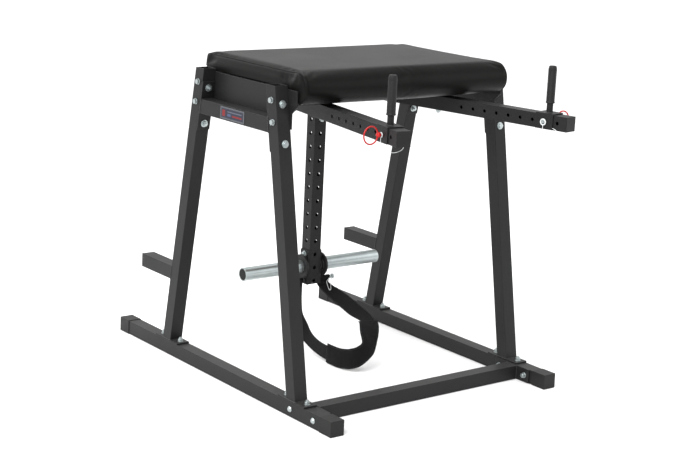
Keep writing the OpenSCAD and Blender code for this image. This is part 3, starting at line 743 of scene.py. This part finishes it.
class BENCH_OT_camera(bpy.types.Operator):
    """Stand the camera in front of the bench, a little to its left and above the pad"""

    bl_idname = "bench.camera"
    bl_label = "Camera"

    def execute(self, context):
        settings = context.scene.bench_stage
        data = bpy.data.cameras.new("camera")
        data.lens, data.sensor_width = settings.lens, 36.0
        data.clip_end = 60.0
        camera = bpy.data.objects.new("camera", data)
        context.scene.collection.objects.link(camera)
        yaw, pitch, roll = (math.radians(a) for a in (38.19, 13.17, 2.79))
        look = Vector((math.sin(yaw) * math.cos(pitch), math.cos(yaw) * math.cos(pitch), -math.sin(pitch)))
        right = Vector((math.cos(yaw), -math.sin(yaw), 0))
        up = right.cross(look)
        right, up = right * math.cos(roll) + up * math.sin(roll), up * math.cos(roll) - right * math.sin(roll)
        turn = Matrix((right, up, -look)).transposed().to_4x4()
        camera.matrix_world = Matrix.Translation(Vector(settings.camera)) @ turn
        context.scene.camera = camera
        return {"FINISHED"}


class BENCH_OT_lanyards(bpy.types.Operator):
    """Hang the coated lanyards of the locking pins and the pull loop of the strap pin"""

    bl_idname = "bench.lanyards"
    bl_label = "Lanyards"

    def execute(self, context):
        diameter = context.scene.bench_detail.lanyard
        material = coated_cord(context.scene.bench_finish.cord)
        paint("white_cord", material)
        for name, route, side, body, stiffness in (
            ("left_lanyard", CROSSING_LANYARD, -1, "left_post", "medium"),
            ("right_lanyard", HANGING_LANYARD, 1, "right_post", "medium"),
            ("strap_pin_loop", PIN_LOOP, 0, "strap_pin_body", "medium"),
        ):
            points = []
            for k in range((len(route) - 1) * 4 + 1):
                at = [c / 1000 for c in on_curve(route, k / 4)]
                points.append(arm_point(side, *at) if side else Vector(at))
            curve = bpy.data.curves.new(name + "_line", "CURVE")
            curve.dimensions = "3D"
            curve.bevel_depth = diameter / 2
            curve.bevel_resolution = 3
            curve.use_fill_caps = True
            line = curve.splines.new("POLY")
            line.points.add(len(points) - 1)
            for spot, p in zip(line.points, points):
                spot.co = (*p, 1)
            line.use_smooth = True
            piece = add_piece(name + "_line", curve, material, body)
            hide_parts(name)
        return {"FINISHED"}


class BENCH_OT_steelwork(bpy.types.Operator):
    """Powder-coat the tubes, plates, pendulum, carriage and hand posts"""

    bl_idname = "bench.steelwork"
    bl_label = "Steelwork"

    def execute(self, context):
        paint("charcoal_steel", powder_coat(context.scene.bench_finish.coat))
        return {"FINISHED"}


class BENCH_OT_fasteners(bpy.types.Operator):
    """Plate the horns, axle, bolts and pins with zinc"""

    bl_idname = "bench.fasteners"
    bl_label = "Horns and fasteners"

    def execute(self, context):
        paint("zinc", zinc_plate(context.scene.bench_finish.zinc))
        return {"FINISHED"}


class BENCH_OT_end_caps(bpy.types.Operator):
    """Finish the moulded end caps and plugs"""

    bl_idname = "bench.end_caps"
    bl_label = "End caps"

    def execute(self, context):
        paint("black_plastic", moulded_plastic("cap_plastic", context.scene.bench_finish.plastic, 0.5))
        return {"FINISHED"}


class BENCH_OT_pull_rings(bpy.types.Operator):
    """Finish the red balls and pull rings of the locking pins"""

    bl_idname = "bench.pull_rings"
    bl_label = "Pull rings"

    def execute(self, context):
        red = context.scene.bench_finish.red
        paint("red_plastic", moulded_plastic("red_plastic", red, 0.28, 900.0, 0.06))
        return {"FINISHED"}


class BENCH_OT_label(bpy.types.Operator):
    """Print the plain label plate on the left side tube"""

    bl_idname = "bench.label"
    bl_label = "Label plate"

    def execute(self, context):
        paint("label", label_print(context.scene.bench_finish))
        return {"FINISHED"}


class BENCH_OT_board_and_bushes(bpy.types.Operator):
    """Finish the plywood board under the pad and the bronze bushes of the hub"""

    bl_idname = "bench.board_and_bushes"
    bl_label = "Board and bushes"

    def execute(self, context):
        paint("plywood", plywood())
        paint("bronze", oiled_bronze())
        return {"FINISHED"}


def settle_cover(mesh, settings, held):
    """Lets foam push a cut cover outwards; held says which points stay put."""
    piece = bpy.data.objects.new("settling_cover", mesh)
    bpy.context.scene.collection.objects.link(piece)
    group = piece.vertex_groups.new(name="held")
    group.add([v.index for v in mesh.vertices if held(v.co)], 1.0, "REPLACE")
    cloth = piece.modifiers.new("cover", "CLOTH")
    cloth.settings.quality = 4
    cloth.settings.mass = 0.3
    cloth.settings.tension_stiffness = 30
    cloth.settings.compression_stiffness = 30
    cloth.settings.bending_stiffness = 4
    cloth.settings.use_pressure = True
    cloth.settings.uniform_pressure_force = settings.pressure
    cloth.settings.vertex_group_mass = "held"
    cloth.settings.effector_weights.gravity = 0
    cloth.collision_settings.use_collision = False
    scene = bpy.context.scene
    for step in range(1, settings.frames + 1):
        scene.frame_set(step)
    view = bpy.context.evaluated_depsgraph_get()
    settled = [v.co.copy() for v in piece.evaluated_get(view).data.vertices]
    scene.frame_set(1)
    bpy.data.objects.remove(piece)
    return settled


class BENCH_OT_pad_cover(bpy.types.Operator):
    """Stretch the vinyl cover over the foam, with its front roll and crowned top"""

    bl_idname = "bench.pad_cover"
    bl_label = "Pad cover"

    def execute(self, context):
        settings = context.scene.bench_pad
        source = frame["nodes"]["pad"]
        low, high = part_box("pad")
        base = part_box("pad_board")[0].z
        roll_back = low.y + 0.115
        mesh = source.data.copy()
        mesh.materials.clear()
        for v in mesh.vertices:
            v.co.x *= 1 - settings.tuck / high.x
            middle = (low.y + high.y) / 2
            v.co.y = middle + (v.co.y - middle) * (1 - 2 * settings.tuck / (high.y - low.y))
            if v.co.z > base + 0.02:
                v.co.z -= settings.tuck
        cut = bpy.data.objects.new("cut_cover", mesh)
        context.scene.collection.objects.link(cut)
        remesh = cut.modifiers.new("even", "REMESH")
        remesh.mode = "VOXEL"
        remesh.voxel_size = settings.voxel
        view = context.evaluated_depsgraph_get()
        cover = bpy.data.meshes.new_from_object(cut.evaluated_get(view))
        bpy.data.objects.remove(cut)
        start = [v.co.copy() for v in cover.vertices]

        def held(p):
            return p.z < base + 0.018 and p.y > roll_back

        final = settle_cover(cover, settings, held)
        for v, a, b in zip(cover.vertices, start, final):
            move = b - a
            size = move.length
            if size > 1e-9:
                move *= settings.swell * math.tanh(size / settings.swell) / size
            p = a + move
            p.x = max(min(p.x, high.x - 0.0004), low.x + 0.0004)
            p.z = max(p.z, low.z + 0.0005)
            v.co = p
        smooth = bmesh.new()
        smooth.from_mesh(cover)
        for _ in range(2):
            bmesh.ops.smooth_vert(smooth, verts=smooth.verts, factor=0.5,
                                  use_axis_x=True, use_axis_y=True, use_axis_z=True)
        for v in smooth.verts:
            if v.co.z < low.z + 0.012 and v.co.y > roll_back:
                if abs(v.co.x) > high.x - 0.014:
                    v.co.x = math.copysign(high.x - 0.0012, v.co.x)
                if v.co.z < low.z + 0.0095:
                    v.co.z = low.z + 0.0003
        smooth.to_mesh(cover)
        smooth.free()
        cover.polygons.foreach_set("use_smooth", [True] * len(cover.polygons))
        vinyl = grained_vinyl("grained_vinyl", settings.vinyl)
        paint("vinyl", vinyl)
        piece = add_piece("pad_cover", cover, vinyl, "frame")
        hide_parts("pad")
        self.piping(piece, settings, vinyl, low, high)
        return {"FINISHED"}

    def piping(self, cover, settings, vinyl, low, high):
        """Piping that follows the edge of each end panel."""
        tree = BVHTree.FromObject(cover, bpy.context.evaluated_depsgraph_get())
        outline = [(low.y + ROLL_R * (1 - math.sin(a)), high.z - ROLL_R + ROLL_R * math.cos(a))
                   for a in (math.radians(170 - 5 * k) for k in range(35))]
        flat_run = int((high.y - low.y - ROLL_R - BACK_R) / 0.01)
        outline += [(low.y + ROLL_R + 0.01 * k, high.z) for k in range(1, flat_run)]
        outline += [(high.y - BACK_R + BACK_R * math.sin(a), high.z - BACK_R + BACK_R * math.cos(a))
                    for a in (math.radians(15 * k) for k in range(7))]
        outline += [(high.y, high.z - BACK_R - 0.006 * k) for k in range(1, 7)]
        batch = Batch()
        for side in (-1, 1):
            line = []
            for y, z in outline:
                found = tree.find_nearest(Vector((side * (high.x - 0.004), y, z)))
                line.append(found[0] + found[1] * 0.0005)
            for _ in range(4):
                eased = [(a + b * 2 + c) / 4 for a, b, c in zip(line, line[1:], line[2:])]
                line = [line[0]] + eased + [line[-1]]
            batch.skin(tube_rings(resampled(line, 0.004), settings.piping, 8))
        add_piece("pad_piping", batch.mesh("pad_piping"), vinyl, "frame")


def across_way(route, at):
    """Way along the strap, its width direction, and the direction through it."""
    last = len(route) - 1
    ahead = Vector(on_curve(route, min(at + 0.05, last))[:3])
    behind = Vector(on_curve(route, max(at - 0.05, 0))[:3])
    way = (ahead - behind).normalized()
    lean = math.radians(on_curve(route, at)[3])
    wide = Vector((math.sin(lean), 0, math.cos(lean)))
    wide = (wide - way * wide.dot(way)).normalized()
    return way, wide, way.cross(wide)


def strap_rings(start, stop, steps, section):
    """Rings along the strap; section(t) gives points across and through it, in metres."""
    rings, runs, along, last = [], [], 0.0, None
    count = int((stop - start) * steps)
    for k in range(count + 1):
        at = start + (stop - start) * k / count
        centre = Vector(on_curve(STRAP_ROUTE, at)[:3]) / 1000
        _, wide, out = across_way(STRAP_ROUTE, at)
        along += 0.0 if last is None else (centre - last).length
        last = centre
        shape = section(k / count)
        rings.append([centre + wide * u + out * v for u, v in shape])
        runs.append([(u + (0.2 if v < 0 else 0.0), along) for u, v in shape])
    return rings, runs


def webbing_section(width, thickness):
    w, t, edge = width / 2, thickness / 2, thickness * 0.35
    upper = [(-w + edge * 0.3, t * 0.6)] + [(-w + edge + (2 * w - 2 * edge) * k / 10, t) for k in range(11)]
    upper += [(w - edge * 0.3, t * 0.6)]
    return upper + [(w, 0.0)] + [(u, -v) for u, v in reversed(upper)] + [(-w, 0.0)]


class BENCH_OT_strap(bpy.types.Operator):
    """Lay the webbing from the strap pin to the cuff, with its sewn eyes and stitching"""

    bl_idname = "bench.strap"
    bl_label = "Strap"

    def execute(self, context):
        settings = context.scene.bench_strap
        batch = Batch()
        shape = webbing_section(settings.width, settings.thickness)
        for start, stop in ((0, CUFF_FROM + 0.35), (CUFF_TO - 0.35, len(STRAP_ROUTE) - 1)):
            rings, runs = strap_rings(start, stop, 12, lambda t: shape)
            batch.skin(rings, runs=runs)
        for side in (-1, 1):
            self.eye(batch, side, settings)
        cloth = woven("webbing_weave", settings.webbing, 0.0024, 0.0034, 0.5)
        paint("webbing", cloth)
        piece = add_piece("strap_webbing_run", batch.mesh("strap_webbing_run", True), cloth,
                          "weight_carriage_body")
        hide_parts("strap_webbing")
        self.stitches(settings)
        return {"FINISHED"}

    def eye(self, batch, side, settings):
        """The eye that the webbing makes round the pin."""
        centre = Vector((side * STRAP_X, PIVOT_Y, STRAP_PIN_Z))
        inner, outer = PIN_CLEAR_R, PIN_CLEAR_R + settings.thickness
        rings, runs = [], []
        section = webbing_section(settings.width, outer - inner)
        for k in range(36):
            a = 2 * math.pi * k / 36
            out = Vector((0, math.cos(a), math.sin(a)))
            rings.append([centre + Vector((u, 0, 0)) + out * ((inner + outer) / 2 + v) for u, v in section])
            runs.append([(u, a * outer) for u, v in section])
        batch.skin(rings, closed=True, runs=runs)

    def stitches(self, settings):
        batch = Batch()
        half = settings.width / 2
        for start, stop in SEWN_EYES:
            for face in (-1, 1):
                for row in (-0.78, -0.4, 0.0, 0.4, 0.78):
                    self.row(batch, start, stop, row * half, face * settings.thickness / 2, 0.0042)
        for start, stop in ((0.2, CUFF_FROM), (CUFF_TO, 14.9)):
            for row in (-0.9, 0.9):
                self.row(batch, start, stop, row * half, -settings.thickness / 2, 0.0055)
                self.row(batch, start, stop, row * half, settings.thickness / 2, 0.0055)
        thread = moulded_plastic("thread", settings.thread, 0.55, 1400.0, 0.3)
        add_piece("strap_stitching", batch.mesh("strap_stitching"), thread, "weight_carriage_body")

    def row(self, batch, start, stop, u, v, pitch):
        """A row of stitches along the strap at u across and v through it."""
        spots = []
        for k in range(241):
            at = start + (stop - start) * k / 240
            _, wide, out = across_way(STRAP_ROUTE, at)
            spots.append((Vector(on_curve(STRAP_ROUTE, at)[:3]) / 1000 + wide * u + out * v, out))
        gone, begin = 0.0, spots[0]
        for here, ahead in zip(spots, spots[1:]):
            gone += (ahead[0] - here[0]).length
            if gone >= pitch:
                up = ahead[1] * (1 if v > 0 else -1)
                stitch(batch, begin[0].lerp(ahead[0], 0.12), begin[0].lerp(ahead[0], 0.82), up)
                begin, gone = ahead, 0.0


class BENCH_OT_cuff(bpy.types.Operator):
    """Fill the padded cuff at the bottom of the strap and bind and stitch its edges"""

    bl_idname = "bench.cuff"
    bl_label = "Ankle cuff"

    def execute(self, context):
        settings = context.scene.bench_strap
        w, t = settings.cuff_width / 2, settings.cuff_thickness / 2

        def section(along):
            """Puffed between the bound edges, thinner towards both ends."""
            end = min(along, 1 - along)
            full = 0.45 + 0.55 * min(end / 0.08, 1) ** 0.5
            upper = []
            for k in range(25):
                u = -1 + 2 * k / 24
                puff = (1 - abs(u / 0.86) ** 3.0) if abs(u) < 0.86 else 0.0
                quilt = 1 - 0.1 * abs(math.sin(along * math.pi * 7)) ** 8
                bound = 0.3 if abs(u) > 0.88 else 0.22
                height = t * full * (bound + (1 - bound) * puff * quilt)
                upper.append((u * w, height))
            upper[0] = (-w, upper[1][1] * 0.6)
            upper[-1] = (w, upper[-2][1] * 0.6)
            return upper + [(u, -v) for u, v in reversed(upper)]

        batch = Batch()
        rings, runs = strap_rings(CUFF_FROM, CUFF_TO, 34, section)
        for ring in rings:
            middle = sum(ring, Vector()) / len(ring)
            for i, p in enumerate(ring):
                crease = noise.noise(p * 70) * 0.0005 + noise.noise(p * 210) * 0.00025
                ring[i] = p + (p - middle).normalized() * crease
        batch.skin(rings, runs=runs)
        cloth = woven("cuff_cloth", settings.cuff, 0.0015, 0.0015, 0.3)
        paint("cuff_fabric", cloth)
        piece = add_piece("cuff_pad", batch.mesh("cuff_pad", True), cloth,
                          "weight_carriage_body")
        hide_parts("ankle_cuff")
        self.edging(settings, w, t)
        return {"FINISHED"}

    def edging(self, settings, w, t):
        """Stitches beside the bound edges."""
        batch = Batch()
        row = BENCH_OT_strap.row
        for side in (-1, 1):
            for face in (-1, 1):
                row(self, batch, CUFF_FROM + 0.06, CUFF_TO - 0.06, side * w * 0.87, face * t * 0.3, 0.0046)
        thread = moulded_plastic("cuff_thread", settings.thread, 0.55, 1400.0, 0.3)
        add_piece("cuff_stitching", batch.mesh("cuff_stitching"), thread,
                  "weight_carriage_body")


class BENCH_OT_grips(bpy.types.Operator):
    """Turn the soft ribbed grips that are pushed onto the hand posts"""

    bl_idname = "bench.grips"
    bl_label = "Soft grips"

    def execute(self, context):
        settings = context.scene.bench_detail
        rubber = moulded_plastic("grip_rubber", settings.grip, 0.56, 650.0, 0.3)
        paint("soft_grip", rubber)
        for side, name in ((-1, "left"), (1, "right")):
            low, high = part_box(name + "_grip")
            centre = arm_point(side, 0, 0, 0)
            r, tall = (high.x - low.x) / 2, high.z - low.z
            profile = [(0.0, 0.0), (r - 0.001, 0.0), (r, 0.0008), (r, 0.004), (r - 0.001, 0.0052)]
            ribs = int((tall - 0.02) / 0.0008)
            for k in range(ribs):
                z = 0.0052 + k * 0.0008
                profile.append((r - 0.0011 + settings.grip_rib * math.sin(k * 2 * math.pi / 5), z))
            top = 0.0052 + ribs * 0.0008
            for k in range(1, 9):
                a = math.pi / 2 * k / 8
                profile.append(((r - 0.0011) * (0.72 + 0.28 * math.cos(a)), top + (tall - top) * math.sin(a)))
            profile += [(0.006, tall - 0.0004), (0.005, tall - 0.0016), (0.0, tall - 0.0016)]
            batch = Batch()
            rings = []
            for k in range(56):
                a = 2 * math.pi * k / 56
                rings.append([
                    Vector((centre.x + x * math.cos(a), centre.y + x * math.sin(a), low.z + z))
                    for x, z in profile
                ])
            batch.skin(rings, closed=True)
            mesh = batch.mesh(name + "_grip_sleeve")
            shape = bmesh.new()
            shape.from_mesh(mesh)
            bmesh.ops.remove_doubles(shape, verts=shape.verts, dist=1e-7)
            bmesh.ops.dissolve_degenerate(shape, edges=shape.edges, dist=1e-8)
            bmesh.ops.recalc_face_normals(shape, faces=shape.faces)
            shape.to_mesh(mesh)
            shape.free()
            mesh.polygons.foreach_set("use_smooth", [True] * len(mesh.polygons))
            piece = add_piece(name + "_grip_sleeve", mesh, rubber, name + "_post")
            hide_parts(name + "_grip")
        return {"FINISHED"}


class BENCH_OT_welds(bpy.types.Operator):
    """Run weld beads where the tubes and plates are joined"""

    bl_idname = "bench.welds"
    bl_label = "Welds"

    def execute(self, context):
        radius = context.scene.bench_detail.weld
        metal = weld_metal(context.scene.bench_finish.coat)
        for body, batch in (
            ("frame", self.frame_beads(radius)),
            ("pendulum", self.pendulum_beads(radius)),
            ("weight_carriage_body", self.carriage_beads(radius)),
            ("left_post", self.post_bead(-1, radius)),
            ("right_post", self.post_bead(1, radius)),
        ):
            add_piece(body + "_welds", batch.mesh(body + "_welds"), metal, body)
        return {"FINISHED"}

    def frame_beads(self, r):
        batch = Batch()
        h = HALF_TUBE
        for side in (-1, 1):
            x = side * RAIL_X

            def across_tube(line_y, heights):
                """A bead round the square end of a tube that meets a leaning face."""
                low, high = heights
                weld_bead(batch, [(x - h, line_y(z), z) for z in (low, high)]
                          + [(x + h, line_y(z), z) for z in (high, low)], r)

            for foot in (FRONT_FOOT_Y, REAR_FOOT_Y):
                inward = -1 if foot > 0 else 1
                leg_y = lambda z: foot + inward * (z - LEG_BASE_Z) * LEG_LEAN
                y, z = leg_y(FOOT_BEAD_Z), FOOT_BEAD_Z
                weld_bead(batch, [(x - h, y - LEG_DEPTH, z), (x + h, y - LEG_DEPTH, z),
                                  (x + h, y + LEG_DEPTH, z), (x - h, y + LEG_DEPTH, z)], r)
                gap = inward * (LEG_DEPTH + FLANGE_T / math.cos(math.atan(LEG_LEAN)))
                across_tube(lambda z: leg_y(z) + gap, SIDE_TUBE_FACES)
            across_tube(lambda z: REAR_FOOT_Y - (z - LEG_BASE_Z) * LEG_LEAN + LEG_DEPTH, STUB_FACES)
            weld_bead(batch, [(side * INNER_FACE_X, y, z) for y, z in CROSS_TUBE_EDGES], r, False)
            for y in MEMBER_Y:
                weld_bead(batch, [(side * INNER_FACE_X, y + a * h, MEMBER_Z + b * h)
                                  for a, b in ((-1, -1), (1, -1), (1, 1), (-1, 1))], r)
        return batch

    def pendulum_beads(self, r):
        batch = Batch()
        h = HALF_TUBE
        under = lambda y: PIVOT_Z - math.sqrt(HUB_R * HUB_R - y * y)
        line = [Vector((-h, PIVOT_Y + y, under(y))) for y in (-h + 0.0025 * k for k in range(21))]
        line += [Vector((h, PIVOT_Y + y, under(y))) for y in (h - 0.0025 * k for k in range(21))]
        weld_bead(batch, line, r)
        return batch

    def carriage_beads(self, r):
        batch = Batch()
        for x in (side * reach for side in (-1, 1) for reach in CARRIAGE_BEADS_X):
            centre = Vector((x, PIVOT_Y, HORN_Z))
            ring = circle_corners(centre, Vector((0, 1, 0)), Vector((0, 0, 1)), CARRIAGE_BEAD_R)
            weld_bead(batch, ring, r * 0.8)
        return batch

    def post_bead(self, side, r):
        batch = Batch()
        centre = arm_point(side, 0, 0, SADDLE_TOP)
        weld_bead(batch, circle_corners(centre, Vector((1, 0, 0)), Vector((0, 1, 0)), POST_R), r * 0.9)
        return batch


class BENCH_OT_stage(bpy.types.Operator):
    """Lay a pale floor and light it softly, as in a studio"""

    bl_idname = "bench.stage"
    bl_label = "Floor and lights"

    def execute(self, context):
        settings = context.scene.bench_stage
        size = 20.0
        mesh = mesh_from("floor", [(-size, -size, 0), (size, -size, 0), (size, size, 0), (-size, size, 0)],
                         [(0, 1, 2, 3)], smooth=False)
        floor = bpy.data.objects.new("floor", mesh)
        context.scene.collection.objects.link(floor)
        material, tree, shader, place = new_material(
            "studio_floor", {"Specular IOR Level": 0.2, "Roughness": 0.7})
        tone = mixed(tree, grain_noise(tree, place, 3.0), shade(settings.floor, 0.985), settings.floor)
        feed(tree, shader, {"Base Color": tone})
        mesh.materials.append(material)
        world = bpy.data.worlds.new("studio")
        world.use_nodes = True
        world.node_tree.nodes["Background"].inputs[0].default_value = (1, 1, 1, 1)
        world.node_tree.nodes["Background"].inputs[1].default_value = settings.world
        context.scene.world = world
        context.scene.view_settings.view_transform = "Standard"
        sun = bpy.data.lights.new("main", "SUN")
        sun.energy, sun.angle = settings.sun, math.radians(40)
        lamp = bpy.data.objects.new("main", sun)
        lamp.rotation_euler = Vector((3.0, 0.8, -3.2)).to_track_quat("-Z", "Y").to_euler()
        context.scene.collection.objects.link(lamp)
        for name, place, size, share in (
            ("key", (-2.2, -2.6, 3.4), 2.4, 1.0),
            ("fill", (3.2, -2.4, 2.4), 2.6, 0.5),
            ("top", (0.2, 0.9, 3.6), 2.2, 0.9),
            ("rear", (-1.6, 3.4, 2.4), 2.0, 0.7),
        ):
            light = bpy.data.lights.new(name, "AREA")
            light.size = size
            light.energy = settings.key * share
            lamp = bpy.data.objects.new(name, light)
            lamp.location = place
            aim = Vector((0, 0, 0.7)) - Vector(place)
            lamp.rotation_euler = aim.to_track_quat("-Z", "Y").to_euler()
            context.scene.collection.objects.link(lamp)
        return {"FINISHED"}


OPERATORS = (
    BENCH_OT_camera, BENCH_OT_lanyards, BENCH_OT_steelwork, BENCH_OT_fasteners, BENCH_OT_end_caps,
    BENCH_OT_pull_rings, BENCH_OT_label, BENCH_OT_board_and_bushes, BENCH_OT_pad_cover,
    BENCH_OT_strap, BENCH_OT_cuff, BENCH_OT_grips, BENCH_OT_welds, BENCH_OT_stage,
)
SETTINGS = (
    ("bench_finish", FinishSettings), ("bench_pad", PadSettings), ("bench_strap", StrapSettings),
    ("bench_detail", DetailSettings), ("bench_stage", StageSettings),
)


class BENCH_PT_dressing(bpy.types.Panel):
    """Lists the bench's pieces and their settings"""

    bl_idname = "BENCH_PT_dressing"
    bl_label = "Bench"
    bl_space_type = "VIEW_3D"
    bl_region_type = "UI"
    bl_category = "Bench"

    def draw(self, context):
        for operator in OPERATORS:
            self.layout.operator(operator.bl_idname)
        for name, group in SETTINGS:
            box = self.layout.box()
            for key in group.__annotations__:
                box.prop(getattr(context.scene, name), key)


def register():
    for name, group in SETTINGS:
        bpy.utils.register_class(group)
        setattr(bpy.types.Scene, name, PointerProperty(type=group))
    for operator in OPERATORS:
        bpy.utils.register_class(operator)
    bpy.utils.register_class(BENCH_PT_dressing)


def unregister():
    bpy.utils.unregister_class(BENCH_PT_dressing)
    for operator in reversed(OPERATORS):
        bpy.utils.unregister_class(operator)
    for name, group in reversed(SETTINGS):
        delattr(bpy.types.Scene, name)
        bpy.utils.unregister_class(group)


def main():
    """Builds every piece in order."""
    register()
    bpy.ops.bench.camera()
    bpy.ops.bench.lanyards()
    bpy.ops.bench.steelwork()
    bpy.ops.bench.fasteners()
    bpy.ops.bench.end_caps()
    bpy.ops.bench.pull_rings()
    bpy.ops.bench.label()
    bpy.ops.bench.board_and_bushes()
    bpy.ops.bench.pad_cover()
    bpy.ops.bench.strap()
    bpy.ops.bench.cuff()
    bpy.ops.bench.grips()
    bpy.ops.bench.welds()
    bpy.ops.bench.stage()


if __name__ == "__main__":
    main()
